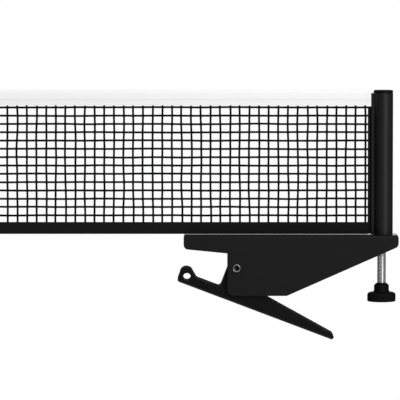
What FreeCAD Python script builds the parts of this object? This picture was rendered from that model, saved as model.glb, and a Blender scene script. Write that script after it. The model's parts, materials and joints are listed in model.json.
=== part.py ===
import FreeCAD, Part
import math
import os
import re
import Sketcher

# A table tennis net clamp. A housing of folded sheet steel sits over the table's edge, and a sprung
# lever grips the table from below. A screw with a knob raises the post, which holds a stretch of net.
# The origin is the table's top edge in the clamp's middle plane: X points away from the table, Y across
# the clamp and Z up. All sizes are in millimetres.

SIZES = [
    # Housing
    ("housing_width", 28.0, "outside width over the two side plates"),
    ("plate", 2.0, "thickness of the housing's sheet steel"),
    ("fold", 2.6, "outside radius of the housing's folds"),
    ("jaw_reach", 40.3, "length of the upper jaw over the table"),
    ("tail_beyond", 13.9, "length of the housing beyond the post's axis"),
    ("web_top", 16.8, "height of the housing's top above the table top"),
    ("housing_drop", 39.1, "depth of the side plates below the table top"),
    ("jaw_rise", 4.0, "rise of the upper jaw's underside from root to tip"),
    ("belly_end", 54.6, "where the plates' lower edge turns up"),
    ("tail_edge", 6.3, "height of the plates' lower edge at the outer end"),
    ("top_round", 2.2, "radius of the plates' upper corners"),
    ("jaw_round", 4.5, "radius of the upper jaw's lower corner"),
    ("belly_round", 5.6, "radius of the plates' lower corner by the table"),
    ("belly_bend", 3.0, "radius where the lower edge turns up"),
    ("tail_round", 4.2, "radius of the outer end's lower corner"),
    # Upper jaw
    ("pad_proud", 0.1, "how far the jaw pad stands below the plates"),
    ("pad_thickness", 2.6, "thickness of the jaw pad"),
    ("pad_inset", 1.6, "distance of the jaw block and pad from the jaw's two ends"),
    # Pivot
    ("pivot_reach", 8.4, "distance of the pivot beyond the table's edge"),
    ("pivot_drop", 13.4, "depth of the pivot below the table top"),
    ("rivet_radius", 3.0, "radius of the pivot rivet's shank"),
    ("rivet_head", 3.8, "radius of the rivet's rolled ends"),
    ("rivet_proud", 0.6, "height of the rolled ends on the plates"),
    ("rivet_bore", 2.6, "radius of the blind hole in each end of the rivet"),
    ("rivet_depth", 5.0, "depth of the blind holes"),
    ("running", 0.05, "radial clearance of a hole on its shaft"),
    ("washer_radius", 6.0, "outside radius of the washers beside the lever"),
    ("washer", 1.8, "thickness of the washers"),
    ("side_play", 0.1, "clearance on each face of a washer"),
    ("bush_radius", 4.5, "outside radius of the bush that carries the spring"),
    # Lever, along and above its straight base
    ("lever_slope", 20.75, "slope of the lever's base at rest, in degrees"),
    ("lever_depth", 31.2, "distance of the pivot from the base"),
    ("lever_wall", 1.8, "thickness of the lever's sheet steel"),
    ("lever_fold", 2.3, "outside radius of the lever's folds"),
    ("nose_end", 47.1, "from the pivot to the nose's end"),
    ("nose_height", 21.94, "height of the nose's unrounded peak"),
    ("nose_round", 6.0, "radius of the nose"),
    ("nose_shoulder", 31.0, "from the pivot to the foot of the nose"),
    ("neck_height", 9.29, "height of the neck between nose and ear"),
    ("ear_half", 7.9, "from the pivot to the ear's front edge"),
    ("ear_top", 6.5, "height of the ear's front edge above the pivot"),
    ("horn_front", 1.0, "from the pivot to the stop horn's front edge"),
    ("horn_back", 7.0, "from the pivot to the stop horn's back edge"),
    ("horn_foot", 12.5, "height of the stop horn's foot above the pivot"),
    ("horn_top", 27.0, "height of the stop horn above the pivot"),
    ("ear_back", 4.0, "height above the pivot where the ear's back edge starts"),
    ("handle_start", 19.5, "from the pivot to the handle's root"),
    ("handle_root", 17.9, "height of the handle at its root"),
    ("handle_reach", 103.9, "from the pivot to the handle's rounded end"),
    ("handle_end", 5.6, "height of the handle at its rounded end"),
    ("lever_reach", 106.9, "from the pivot to the lever's tip"),
    ("tip_height", 2.9, "height of the lever's tip"),
    ("tip_cut", 1.2, "how far the base ends short of the tip"),
    ("hole_back", 39.7, "from the pivot to the nose's hole"),
    ("hole_radius", 3.5, "radius of the nose's hole"),
    ("tube_wall", 1.0, "wall of the tube that lines the hole through the nose"),
    ("tube_lift", 0.89, "gap between this tube and the lever's web"),
    ("nose_pad_proud", 0.3, "how far the nose pad stands above the nose"),
    ("nose_pad_play", 0.1, "clearance of the nose pad to each wall of the lever"),
    # Lever's stop and spring
    ("stop_radius", 2.5, "radius of the bar that stops the lever"),
    ("stop_height", 20.0, "height of the bar above the pivot, along the horn"),
    ("stop_gap", 0.2, "gap between horn and bar"),
    ("wire", 2.6, "diameter of the spring's wire"),
    ("wire_gap", 0.6, "least gap between the spring's turns and to what they go round"),
    ("spring_side", 0.8, "gap between the spring and the lever's walls"),
    ("upper_leg", 30.0, "length of the spring's leg on the housing"),
    ("lower_leg", 42.0, "length of the spring's leg on the lever"),
    ("leg_gap", 0.08, "gap under the ends of the spring's legs"),
    # Post and its screw
    ("post_reach", 143.5, "distance of the post's axis beyond the table's edge"),
    ("post_radius", 9.0, "radius of the post"),
    ("post_gap", 0.2, "gap under the post at its lowest"),
    ("post_top", 147.0, "height of the post's extrusion above the table top"),
    ("cap_height", 3.0, "height of the post's cap"),
    ("cap_round", 1.5, "radius of the cap's edge"),
    ("cap_plug", 9.0, "length of the cap's plug in the bore"),
    ("screw_offset", 1.3, "how far the screw's axis lies before the post's"),
    ("screw_radius", 4.0, "radius of the height screw"),
    ("screw_play", 0.1, "radial clearance of the screw in the guide tube"),
    ("guide_wall", 0.9, "wall of the guide tube"),
    ("guide_play", 0.1, "radial clearance of the post on the guide tube"),
    ("guide_height", 45.0, "height of the guide tube above the housing"),
    ("snug", 0.03, "radial clearance of a piece that is pressed or glued in"),
    ("screw_above", 4.2, "how far the screw's end stands above the guide tube"),
    ("thrust_length", 8.0, "length of the plug that the screw lifts"),
    ("thrust_gap", 0.05, "gap between screw and plug"),
    ("nut_flats", 13.0, "width across the flats of the nut under the housing"),
    ("nut_height", 6.5, "height of the nut"),
    # Channel for the net on the post
    ("channel_wall", 1.0, "wall between the channel and the post's bore"),
    ("channel_radius", 1.5, "radius of the channel"),
    ("lip_depth", 0.8, "depth of the lips before the channel"),
    ("lip_width", 6.4, "width over the two lips"),
    ("slot_width", 1.3, "width of the slot between the lips"),
    # Knob
    ("knob_top", 28.3, "depth of the knob's hub below the table top"),
    ("knob_height", 16.9, "height of the knob"),
    ("hub_wall", 2.9, "wall of the hub round the screw"),
    ("hub_bevel", 1.9, "bevel of the hub's top"),
    ("flange_top", 8.7, "from the hub's top down to the flange's edge"),
    ("hub_foot", 7.7, "from the hub's top down to the hub's foot"),
    ("flange_radius", 13.1, "radius of the flange"),
    ("flange_round", 2.0, "radius of the flange's upper edge"),
    ("flange_base", 1.2, "radius of the flange's lower edge"),
    ("screw_hold", 13.0, "depth of the screw in the knob"),
    ("flutes", 30, "number of grip flutes round the flange"),
    ("flute_radius", 0.6, "radius of a flute"),
    # Net
    ("net_reach", 219.0, "length of the net over the table"),
    ("binding_width", 2.7, "width of the side binding before the post's lips"),
    ("binding", 0.7, "thickness of the side binding"),
    ("binding_drop", 0.7, "how far the side binding ends below the top tape"),
    ("welt_radius", 1.2, "radius of the welt in the post's channel"),
    ("net_thickness", 1.2, "thickness of the net's cords"),
    ("cord_width", 1.5, "width of a cord"),
    ("first_upright", 3.0, "distance of the first upright cord from the side binding"),
    ("upright_pitch", 17.814, "spacing of the upright cords"),
    ("first_level", 1.6, "distance of the uppermost level cord below the top tape"),
    ("level_pitch", 7.66, "spacing of the level cords"),
    ("tape_above", 2.9, "height of the top tape's upper edge above the post's extrusion"),
    ("tape_height", 14.4, "height of the top tape"),
    ("tape_short", 1.4, "gap between the top tape and the post's lips"),
    ("tape_thickness", 3.2, "thickness of the folded tapes"),
    ("cloth", 0.5, "thickness of one layer of tape"),
    ("cord_radius", 1.0, "radius of the cord in the top tape"),
    ("band_height", 10.5, "height of the bottom tape"),
    ("band_gap", 0.7, "gap between the bottom tape and the housing's top"),
    ("tuck", 7.0, "how far the net goes into its top tape"),
    ("band_tuck", 8.0, "how far the net goes into its bottom tape"),
    ("hem", 8.0, "width of the hem at the net's far end"),
]

# Sizes that follow from others, as formulas of the sheet's names.
HOUSING_INSIDE = "(housing_width - 2 * plate)"
WEB_UNDER = "(web_top - plate)"
LEVER_WIDTH = "(housing_width - 2 * plate - 2 * washer - 4 * side_play)"
LEVER_INSIDE = f"({LEVER_WIDTH} - 2 * lever_wall)"
NOSE_TUBE = "(hole_radius + tube_wall)"
HOLE_HEIGHT = f"(lever_wall + tube_lift + {NOSE_TUBE})"
HOLE = "(rivet_radius + running)"
TAIL = "(post_reach + tail_beyond)"
SCREW_X = "(post_reach - screw_offset)"
GUIDE_BORE = "(screw_radius + screw_play)"
GUIDE_RADIUS = f"({GUIDE_BORE} + guide_wall)"
POST_BORE = f"({GUIDE_RADIUS} + guide_play)"
SCREW_END = "(web_top + guide_height + screw_above)"
POST_FOOT = "(web_top + post_gap)"
HUB_RADIUS = "(screw_radius + hub_wall)"
CHANNEL_X = f"({SCREW_X} - {POST_BORE} - channel_wall - channel_radius)"
LIP_X = f"({CHANNEL_X} - channel_radius - lip_depth)"
BINDING_X = f"({LIP_X} - binding_width)"
TAPE_X = f"({LIP_X} - tape_short)"
TAPE_TOP = "(post_top + tape_above)"
TAPE_BOTTOM = f"({TAPE_TOP} - tape_height)"
BINDING_TOP = f"({TAPE_BOTTOM} - binding_drop)"
BAND_BOTTOM = "(web_top + band_gap)"
BAND_TOP = f"({BAND_BOTTOM} + band_height)"


def fill_sheet(doc):
    """Writes each size, its alias and its meaning into the sheet."""
    sheet = doc.addObject("Spreadsheet::Sheet", "Sizes")
    for row, (alias, number, meaning) in enumerate(SIZES, start=1):
        sheet.set(f"A{row}", alias)
        sheet.set(f"B{row}", str(number))
        sheet.set(f"C{row}", meaning)
        sheet.setAlias(f"B{row}", alias)
    doc.recompute()
    return sheet


doc = FreeCAD.newDocument("net_clamp")
sizes = fill_sheet(doc)
NAMES = {alias for alias, _, _ in SIZES}
sub_parts = []


def cells(formula):
    """A formula of size names, as an expression of the sheet's cells."""
    return re.sub(r"[a-z_]+", lambda m: f"Sizes.{m[0]}" if m[0] in NAMES else m[0], formula)


def number(formula):
    return float(sizes.evalExpression(cells(formula)))


def new_body(name, x="0", y="0", z="0", tilt=None):
    """An empty sub-part, placed by formulas and tilted about Y."""
    body = doc.addObject("PartDesign::Body", name)
    body.Label = name
    if tilt:
        body.Placement.Rotation = FreeCAD.Rotation(FreeCAD.Vector(0, 1, 0), number(tilt))
        body.setExpression("Placement.Rotation.Angle", cells(tilt))
    for axis, place in zip("xyz", (x, y, z)):
        body.setExpression(f"Placement.Base.{axis}", cells(place))
    sub_parts.append(body)
    return body


def new_sketch(body, plane, lift="0"):
    sketch = body.newObject("Sketcher::SketchObject", f"{body.Name}_sketch")
    origin_plane = next(f for f in body.Origin.OriginFeatures if f.Role == plane)
    sketch.AttachmentSupport = [(origin_plane, "")]
    sketch.MapMode = "FlatFace"
    sketch.setExpression("AttachmentOffset.Base.z", cells(lift))
    return sketch


def bind(sketch, kind, geometry, point, formula):
    """Ties a point's distance from the sketch's origin, or a radius, to a formula."""
    if kind == "Radius":
        index = sketch.addConstraint(Sketcher.Constraint(kind, geometry, number(formula)))
    else:
        index = sketch.addConstraint(
            Sketcher.Constraint(kind, -1, 1, geometry, point, number(formula))
        )
    sketch.setExpression(f"Constraints[{index}]", cells(formula))


def add_outline(sketch, corners):
    """A closed outline through corners, each (across, up) or (across, up, radius), as formulas.

    A rounded corner is an arc tangent to its two sides, and a construction point keeps the place
    where they would meet.
    """
    count = len(corners)
    places = [FreeCAD.Vector(number(c[0]), number(c[1]), 0) for c in corners]
    starts, ends, middles = list(places), list(places), {}
    for i, corner in enumerate(corners):
        if len(corner) < 3:
            continue
        to_last = (places[i - 1] - places[i]).normalize()
        to_next = (places[(i + 1) % count] - places[i]).normalize()
        half = to_last.getAngle(to_next) / 2
        radius = number(corner[2])
        ends[i] = places[i] + to_last * (radius / math.tan(half))
        starts[i] = places[i] + to_next * (radius / math.tan(half))
        inward = (to_last + to_next).normalize()
        middles[i] = places[i] + inward * (radius / math.sin(half) - radius)
    first = sketch.GeometryCount
    for i in range(count):
        line = Part.LineSegment(starts[i], ends[(i + 1) % count])
        sketch.addGeometry(line, False)
    for i, corner in enumerate(corners):
        before, after = first + (i - 1) % count, first + i
        if i not in middles:
            sketch.addConstraint(Sketcher.Constraint("Coincident", before, 2, after, 1))
            vertex = (after, 1)
        else:
            arc = sketch.addGeometry(Part.Arc(ends[i], middles[i], starts[i]), False)
            begins_here = sketch.getPoint(arc, 1).isEqual(ends[i], 1e-6)
            near, far = (1, 2) if begins_here else (2, 1)
            sketch.addConstraint(Sketcher.Constraint("Tangent", before, 2, arc, near))
            sketch.addConstraint(Sketcher.Constraint("Tangent", arc, far, after, 1))
            bind(sketch, "Radius", arc, None, corner[2])
            meeting = sketch.addGeometry(Part.Point(places[i]), True)
            sketch.addConstraint(Sketcher.Constraint("PointOnObject", meeting, 1, before))
            sketch.addConstraint(Sketcher.Constraint("PointOnObject", meeting, 1, after))
            vertex = (meeting, 1)
        bind(sketch, "DistanceX", *vertex, corner[0])
        bind(sketch, "DistanceY", *vertex, corner[1])


def add_circle(sketch, across, up, radius):
    centre = FreeCAD.Vector(number(across), number(up), 0)
    circle = Part.Circle(centre, FreeCAD.Vector(0, 0, 1), number(radius))
    index = sketch.addGeometry(circle, False)
    bind(sketch, "DistanceX", index, 3, across)
    bind(sketch, "DistanceY", index, 3, up)
    bind(sketch, "Radius", index, None, radius)


def add_box(sketch, low, high):
    """A rectangle between two opposite corners."""
    add_outline(sketch, [low, (high[0], low[1]), high, (low[0], high[1])])


def pad(body, sketch, length, both_ways=False):
    feature = body.newObject("PartDesign::Pad", f"{body.Name}_pad")
    feature.Profile = sketch
    feature.SideType = "Symmetric" if both_ways else "One side"
    feature.setExpression("Length", cells(length))
    sketch.Visibility = False
    return feature


def cut(body, sketch, length, both_ways=True):
    """Removes the sketch's area, evenly to both sides of its plane or along its normal only."""
    feature = body.newObject("PartDesign::Pocket", f"{body.Name}_cut")
    feature.Profile = sketch
    feature.SideType = "Symmetric" if both_ways else "One side"
    feature.Reversed = not both_ways
    feature.setExpression("Length", cells(length))
    sketch.Visibility = False
    return feature


def turned(name, axis, profile, **place):
    """A piece turned about its own Y or Z axis, from corners (radius, along[, rounding])."""
    body = new_body(name, **place)
    sketch = new_sketch(body, {"Y": "XY_Plane", "Z": "XZ_Plane"}[axis])
    add_outline(sketch, profile)
    feature = body.newObject("PartDesign::Revolution", f"{name}_turned")
    feature.Profile = sketch
    feature.ReferenceAxis = (sketch, ["V_Axis"])
    feature.Angle = 360
    return body


def tube(name, axis, inner, outer, low, high, **place):
    profile = [(inner, low), (outer, low), (outer, high), (inner, high)]
    return turned(name, axis, profile, **place)


def make_housing():
    """A channel folded down over the table's edge, cut to the side plates' outline."""
    body = new_body("housing")
    section = new_sketch(body, "YZ_Plane", "-jaw_reach")
    half, inside = "housing_width / 2", f"{HOUSING_INSIDE} / 2"
    add_outline(
        section,
        [
            (f"-{half}", "-housing_drop"),
            (f"-{inside}", "-housing_drop"),
            (f"-{inside}", WEB_UNDER, "fold - plate"),
            (inside, WEB_UNDER, "fold - plate"),
            (inside, "-housing_drop"),
            (half, "-housing_drop"),
            (half, "web_top", "fold"),
            (f"-{half}", "web_top", "fold"),
        ],
    )
    pad(body, section, f"jaw_reach + {TAIL}")
    waste = new_sketch(body, "XZ_Plane")
    add_box(waste, ("-2 * jaw_reach", "-2 * housing_drop"), (f"2 * {TAIL}", "2 * web_top"))
    add_outline(
        waste,
        [
            ("-jaw_reach", "web_top", "top_round"),
            ("-jaw_reach", "pad_proud + jaw_rise", "jaw_round"),
            ("0", "pad_proud"),
            ("0", "-housing_drop", "belly_round"),
            ("belly_end", "-housing_drop", "belly_bend"),
            (TAIL, "tail_edge", "tail_round"),
            (TAIL, "web_top", "top_round"),
        ],
    )
    cut(body, waste, "2 * housing_width")
    pivot_hole = new_sketch(body, "XZ_Plane")
    add_circle(pivot_hole, "pivot_reach", "-pivot_drop", HOLE)
    cut(body, pivot_hole, "2 * housing_width")
    guide_hole = new_sketch(body, "XY_Plane", "web_top")
    add_circle(guide_hole, SCREW_X, "0", f"{GUIDE_RADIUS} + snug")
    cut(body, guide_hole, "3 * plate")


def make_jaw():
    """A block between the plates of the upper jaw, with a grip pad under it."""
    width = f"{HOUSING_INSIDE} - 2 * (fold - plate)"
    slope = "(jaw_rise / jaw_reach)"
    tip, root = "(jaw_reach - pad_inset)", "pad_inset"
    for name, low, high in (
        ("jaw_pad", "0", "pad_thickness"),
        ("jaw_block", "pad_thickness", None),
    ):
        body = new_body(name)
        sketch = new_sketch(body, "XZ_Plane")
        corners = [
            (f"-{tip}", f"{slope} * {tip} + {low}"),
            (f"-{root}", f"{slope} * {root} + {low}"),
            (f"-{root}", f"{slope} * {root} + {high}" if high else WEB_UNDER),
            (f"-{tip}", f"{slope} * {tip} + {high}" if high else WEB_UNDER),
        ]
        add_outline(sketch, corners)
        pad(body, sketch, width, both_ways=True)


def make_pivot():
    """The rivet through plates and lever, its two washers and the bush that carries the spring."""
    place = {"x": "pivot_reach", "z": "-pivot_drop"}
    half, end = "housing_width / 2", "(housing_width / 2 + rivet_proud)"
    turned(
        "pivot_rivet",
        "Y",
        [
            ("0", f"-({end} - rivet_depth)"),
            ("rivet_bore", f"-({end} - rivet_depth)"),
            ("rivet_bore", f"-{end}"),
            ("rivet_head", f"-{end}", "rivet_proud / 2"),
            ("rivet_head", f"-{half}"),
            ("rivet_radius", f"-{half}"),
            ("rivet_radius", half),
            ("rivet_head", half),
            ("rivet_head", end, "rivet_proud / 2"),
            ("rivet_bore", end),
            ("rivet_bore", f"{end} - rivet_depth"),
            ("0", f"{end} - rivet_depth"),
        ],
        **place,
    )
    washer_at = f"({LEVER_WIDTH} / 2 + side_play + washer / 2)"
    for name, y in (("pivot_washer_front", f"-{washer_at}"), ("pivot_washer_rear", washer_at)):
        tube(name, "Y", HOLE, "washer_radius", "-washer / 2", "washer / 2", y=y, **place)
    tube(
        "pivot_bush",
        "Y",
        HOLE,
        "bush_radius",
        f"-{LEVER_INSIDE} / 2",
        f"{LEVER_INSIDE} / 2",
        **place,
    )


LEVER_PLACE = {"x": "pivot_reach", "z": "-pivot_drop", "tilt": "lever_slope"}


def make_lever():
    """A channel open at the top, cut to the lever's outline: nose, neck, ear, stop horn, handle."""
    body = new_body("lever", **LEVER_PLACE)
    section = new_sketch(body, "YZ_Plane", "-nose_end")
    half, inside = f"{LEVER_WIDTH} / 2", f"{LEVER_INSIDE} / 2"
    add_outline(
        section,
        [
            (f"-{half}", "-lever_depth", "lever_fold"),
            (half, "-lever_depth", "lever_fold"),
            (half, "horn_top"),
            (inside, "horn_top"),
            (inside, "lever_wall - lever_depth", "lever_fold - lever_wall"),
            (f"-{inside}", "lever_wall - lever_depth", "lever_fold - lever_wall"),
            (f"-{inside}", "horn_top"),
            (f"-{half}", "horn_top"),
        ],
    )
    pad(body, section, "nose_end + lever_reach")
    waste = new_sketch(body, "XZ_Plane")
    add_box(waste, ("-2 * nose_end", "-2 * lever_depth"), ("2 * lever_reach", "2 * horn_top"))
    base = "-lever_depth"
    add_outline(
        waste,
        [
            ("-nose_end", base, "nose_round / 2"),
            ("lever_reach - tip_cut", base, "tip_cut / 2"),
            ("lever_reach", f"{base} + tip_height", "tip_cut"),
            ("handle_reach", f"{base} + handle_end", "2 * tip_cut"),
            ("handle_start", f"{base} + handle_root", "ear_half"),
            ("horn_back", "ear_back", "ear_half / 2"),
            ("horn_back", "horn_top", "lever_wall"),
            ("-horn_front", "horn_top", "lever_wall"),
            ("-horn_front", "horn_foot", "lever_wall"),
            ("-ear_half", "ear_top", "ear_half / 2"),
            ("-ear_half", f"{base} + neck_height", "nose_round / 2"),
            ("-nose_shoulder", f"{base} + neck_height", "nose_round / 2"),
            ("-nose_end", f"{base} + nose_height", "nose_round"),
        ],
    )
    cut(body, waste, "2 * housing_width")
    for across, up, radius in (
        ("0", "0", HOLE),
        ("-hole_back", f"{base} + {HOLE_HEIGHT}", "hole_radius"),
    ):
        hole = new_sketch(body, "XZ_Plane")
        add_circle(hole, across, up, radius)
        cut(body, hole, "2 * housing_width")


def make_nose():
    """The tube between the nose's walls and the grip pad that sits on it like a saddle."""
    tube_up = f"({HOLE_HEIGHT} - lever_depth)"
    body = new_body("nose_tube", **LEVER_PLACE)
    sketch = new_sketch(body, "XZ_Plane")
    add_circle(sketch, "-hole_back", tube_up, NOSE_TUBE)
    add_circle(sketch, "-hole_back", tube_up, "hole_radius")
    pad(body, sketch, LEVER_INSIDE, both_ways=True)
    # The nose's rounding touches its end and its back slope, so its centre is one radius from each.
    run, fall = "(nose_end - nose_shoulder)", "(nose_height - neck_height)"
    half_angle = f"(atan({run} / {fall}) / 2)"
    centre_up = f"(nose_height - lever_depth - nose_round / tan({half_angle}))"
    body = new_body("nose_pad", **LEVER_PLACE)
    sketch = new_sketch(body, "XZ_Plane")
    add_circle(sketch, "nose_round - nose_end", centre_up, "nose_round + nose_pad_proud")
    pad(body, sketch, f"{LEVER_INSIDE} - 2 * nose_pad_play", both_ways=True)
    seat = new_sketch(body, "XZ_Plane")
    add_circle(seat, "-hole_back", tube_up, f"{NOSE_TUBE} + snug")
    cut(body, seat, "housing_width")
    below = new_sketch(body, "XZ_Plane")
    add_box(below, ("-2 * nose_end", "-2 * lever_depth"), ("0", tube_up))
    cut(body, below, "housing_width")


def make_stop():
    """A bar across the housing, behind the lever's horn."""
    across = "(horn_back + stop_gap + stop_radius)"
    x = f"pivot_reach + {across} * cos(lever_slope) + stop_height * sin(lever_slope)"
    z = f"-pivot_drop - {across} * sin(lever_slope) + stop_height * cos(lever_slope)"
    half = f"{HOUSING_INSIDE} / 2"
    profile = [("0", f"-{half}"), ("stop_radius", f"-{half}"), ("stop_radius", half), ("0", half)]
    turned("stop_bar", "Y", profile, x=x, z=z)


def unit(angle):
    return FreeCAD.Vector(math.cos(angle), 0, math.sin(angle))


def biarc(start, start_way, end, end_way):
    """Two tangent arcs from start to end that leave and arrive along the given directions."""
    chord, ways = end - start, start_way + end_way
    a = 2 * (1 - start_way.dot(end_way))
    b = 2 * chord.dot(ways)
    reach = (math.sqrt(b * b + 4 * a * chord.dot(chord)) - b) / (2 * a)
    before, after = start + start_way * reach, end - end_way * reach
    joint = (before + after) / 2
    arcs = []
    for first, corner, last in ((start, before, joint), (joint, after, end)):
        middle = (first + last) / 2
        height = corner - middle
        half = (last - first).Length / 2
        bulge = half * math.tan(math.atan2(height.Length, half) / 2)
        arcs.append(Part.Arc(first, middle + height.normalize() * bulge, last).toShape())
    return arcs


def make_spring():
    """A torsion spring round the bush: one leg on the housing's top, one on the lever's base.

    Seen from the front it winds anticlockwise from the upper leg to the lower one, so that it
    tightens as the lever opens.
    """
    wire, slope = number("wire"), math.radians(number("lever_slope"))
    coil = number("bush_radius + wire_gap + wire / 2")
    side = number(f"{LEVER_INSIDE} / 2 - spring_side - wire / 2")
    lift = number("wire / 2 + leg_gap")
    upper, lower = number("upper_leg"), number("lower_leg")
    rise = number(f"{WEB_UNDER} + pivot_drop") - lift
    depth = number("lever_depth - lever_wall") - lift
    upper_angle = math.asin(rise / math.hypot(upper, coil)) - math.atan2(coil, upper)
    lower_angle = math.atan2(coil, lower) - slope - math.asin(depth / math.hypot(lower, coil))
    whole_turns = math.floor(2 * side / number("wire + wire_gap"))
    first = upper_angle + math.pi / 2
    last = lower_angle - math.pi / 2 + 2 * math.pi * math.ceil(
        (first - lower_angle + math.pi / 2) / (2 * math.pi)
    )
    last += 2 * math.pi * (whole_turns - 1 if last - first > math.pi else whole_turns)
    steps = math.ceil((last - first) / (math.pi / 2))
    climb = 2 * side / (last - first)
    centre = FreeCAD.Vector(number("pivot_reach"), 0, -number("pivot_drop"))

    def at(step):
        angle = first + (last - first) * step / steps
        place = centre + unit(angle) * coil
        place.y = -side + climb * (angle - first)
        way = unit(angle + math.pi / 2) * coil
        if 0 < step < steps:
            way.y = climb
        return place, way.normalize()

    knots = [at(step) for step in range(steps + 1)]
    upper_end = knots[0][0] - knots[0][1] * upper
    lower_end = knots[-1][0] + knots[-1][1] * lower
    edges = [Part.LineSegment(upper_end, knots[0][0]).toShape()]
    for (start, start_way), (end, end_way) in zip(knots, knots[1:]):
        edges += biarc(start, start_way, end, end_way)
    edges.append(Part.LineSegment(knots[-1][0], lower_end).toShape())
    path = Part.Wire(edges)
    section = Part.Wire([Part.makeCircle(wire / 2, upper_end, knots[0][1])])
    shape = path.makePipeShell([section], True, False)
    print_gap(edges, wire)
    spring = doc.addObject("Part::Feature", "torsion_spring")
    spring.Label = "torsion_spring"
    spring.Shape = shape
    spring.Placement = FreeCAD.Placement()
    sub_parts.append(spring)


def print_gap(edges, wire):
    """Prints the least gap between stretches of the wire that lie more than half a turn apart."""
    spacing, places = 0.5, []
    for edge in edges:
        places += edge.discretize(Distance=spacing)
    half_turn = int(math.pi * number("bush_radius + wire_gap + wire / 2") / spacing)
    least = min(
        (a - b).Length
        for i, a in enumerate(places)
        for b in places[i + half_turn:]
    )
    print(f"torsion spring: least gap to itself {least - wire:.2f} mm")


def make_height_gear():
    """The guide tube and nut on the housing, and the screw that the knob turns."""
    place = {"x": SCREW_X}
    guide_end = "web_top + guide_height"
    tube("guide_tube", "Z", GUIDE_BORE, GUIDE_RADIUS, WEB_UNDER, guide_end, **place)
    nut = new_body("height_nut", **place)
    sketch = new_sketch(nut, "XY_Plane", f"{WEB_UNDER} - nut_height")
    corner, flat = "nut_flats / sqrt(3)", "nut_flats / 2"
    add_outline(
        sketch,
        [
            (corner, "0"),
            (f"{corner} / 2", flat),
            (f"-{corner} / 2", flat),
            (f"-{corner}", "0"),
            (f"-{corner} / 2", f"-{flat}"),
            (f"{corner} / 2", f"-{flat}"),
        ],
    )
    add_circle(sketch, "0", "0", "screw_radius + running")
    pad(nut, sketch, "nut_height")
    lead = "screw_radius / 4"
    turned(
        "height_screw",
        "Z",
        [
            ("0", "-knob_top - screw_hold"),
            ("screw_radius", "-knob_top - screw_hold"),
            ("screw_radius", f"{SCREW_END} - {lead}"),
            (f"screw_radius - {lead}", SCREW_END),
            ("0", SCREW_END),
        ],
        **place,
    )


def make_knob():
    """A hub and a fluted flange on the screw's lower end."""
    bore = "(screw_radius + snug)"
    knob = turned(
        "height_knob",
        "Z",
        [
            ("0", "-knob_height"),
            ("flange_radius", "-knob_height", "flange_base"),
            ("flange_radius", "-flange_top", "flange_round"),
            (HUB_RADIUS, "-hub_foot", "hub_bevel / 2"),
            (HUB_RADIUS, "-hub_bevel", "hub_bevel / 3"),
            (f"{HUB_RADIUS} - hub_bevel", "0", "hub_bevel / 4"),
            (bore, "0"),
            (bore, "-screw_hold"),
            ("0", "-screw_hold"),
        ],
        x=SCREW_X,
        z="-knob_top",
    )
    flute = new_sketch(knob, "XY_Plane", "-knob_height")
    add_circle(flute, "flange_radius + flute_radius / 2", "0", "flute_radius")
    groove = cut(knob, flute, "knob_height", both_ways=False)
    pattern = knob.newObject("PartDesign::PolarPattern", "height_knob_flutes")
    pattern.Originals = [groove]
    pattern.Axis = (flute, ["N_Axis"])
    pattern.Angle = 360
    pattern.setExpression("Occurrences", cells("flutes"))
    knob.Tip = pattern


def make_post():
    """The extruded post with its channel for the net, its cap, and the plug that the screw lifts."""
    height = f"post_top - {POST_FOOT}"
    offset = "(-screw_offset)"
    channel = f"({CHANNEL_X} - post_reach)"
    lips = f"({LIP_X} - post_reach)"
    body = new_body("post_tube", x="post_reach", z=POST_FOOT)
    column = new_sketch(body, "XY_Plane")
    add_circle(column, "0", "0", "post_radius")
    pad(body, column, height)
    flange = new_sketch(body, "XY_Plane")
    corner_round = "slot_width / 2"
    add_outline(
        flange,
        [
            (lips, "-lip_width / 2", corner_round),
            ("0", "-lip_width / 2"),
            ("0", "lip_width / 2"),
            (lips, "lip_width / 2", corner_round),
        ],
    )
    pad(body, flange, height)
    cuts = new_sketch(body, "XY_Plane")
    add_circle(cuts, offset, "0", POST_BORE)
    cut(body, cuts, height, both_ways=False)
    cuts = new_sketch(body, "XY_Plane")
    add_circle(cuts, channel, "0", "channel_radius")
    cut(body, cuts, height, both_ways=False)
    slot = new_sketch(body, "XY_Plane")
    add_box(slot, (f"2 * {lips}", "-slot_width / 2"), (channel, "slot_width / 2"))
    cut(body, slot, height, both_ways=False)

    cap = turned(
        "post_cap",
        "Z",
        [
            ("0", "0"),
            ("post_radius", "0"),
            ("post_radius", "cap_height", "cap_round"),
            ("0", "cap_height"),
        ],
        x="post_reach",
        z="post_top",
    )
    plug = new_sketch(cap, "XY_Plane", "-cap_plug")
    add_circle(plug, offset, "0", f"{POST_BORE} - snug")
    pad(cap, plug, "cap_plug")

    low = f"{SCREW_END} + thrust_gap"
    outer = f"{POST_BORE} - snug"
    high = f"{low} + thrust_length"
    profile = [("0", low), (outer, low), (outer, high), ("0", high)]
    turned("thrust_plug", "Z", profile, x=SCREW_X)


def make_welt():
    """The welt in the post's channel and the binding that joins it to the net."""
    profile = [
        ("0", BAND_BOTTOM),
        ("welt_radius", BAND_BOTTOM),
        ("welt_radius", BINDING_TOP),
        ("0", BINDING_TOP),
    ]
    turned("side_welt", "Z", profile, x=CHANNEL_X)
    body = new_body("side_binding")
    sketch = new_sketch(body, "XZ_Plane")
    end = f"{CHANNEL_X} - welt_radius - snug"
    add_box(sketch, (BINDING_X, BAND_BOTTOM), (end, BINDING_TOP))
    pad(body, sketch, "binding", both_ways=True)


def cord_places(first, pitch, last):
    """Places a pitch apart, from the first down to the last one that is above the given end."""
    return [first - i * pitch for i in range(math.ceil((first - last) / pitch))]


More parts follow.
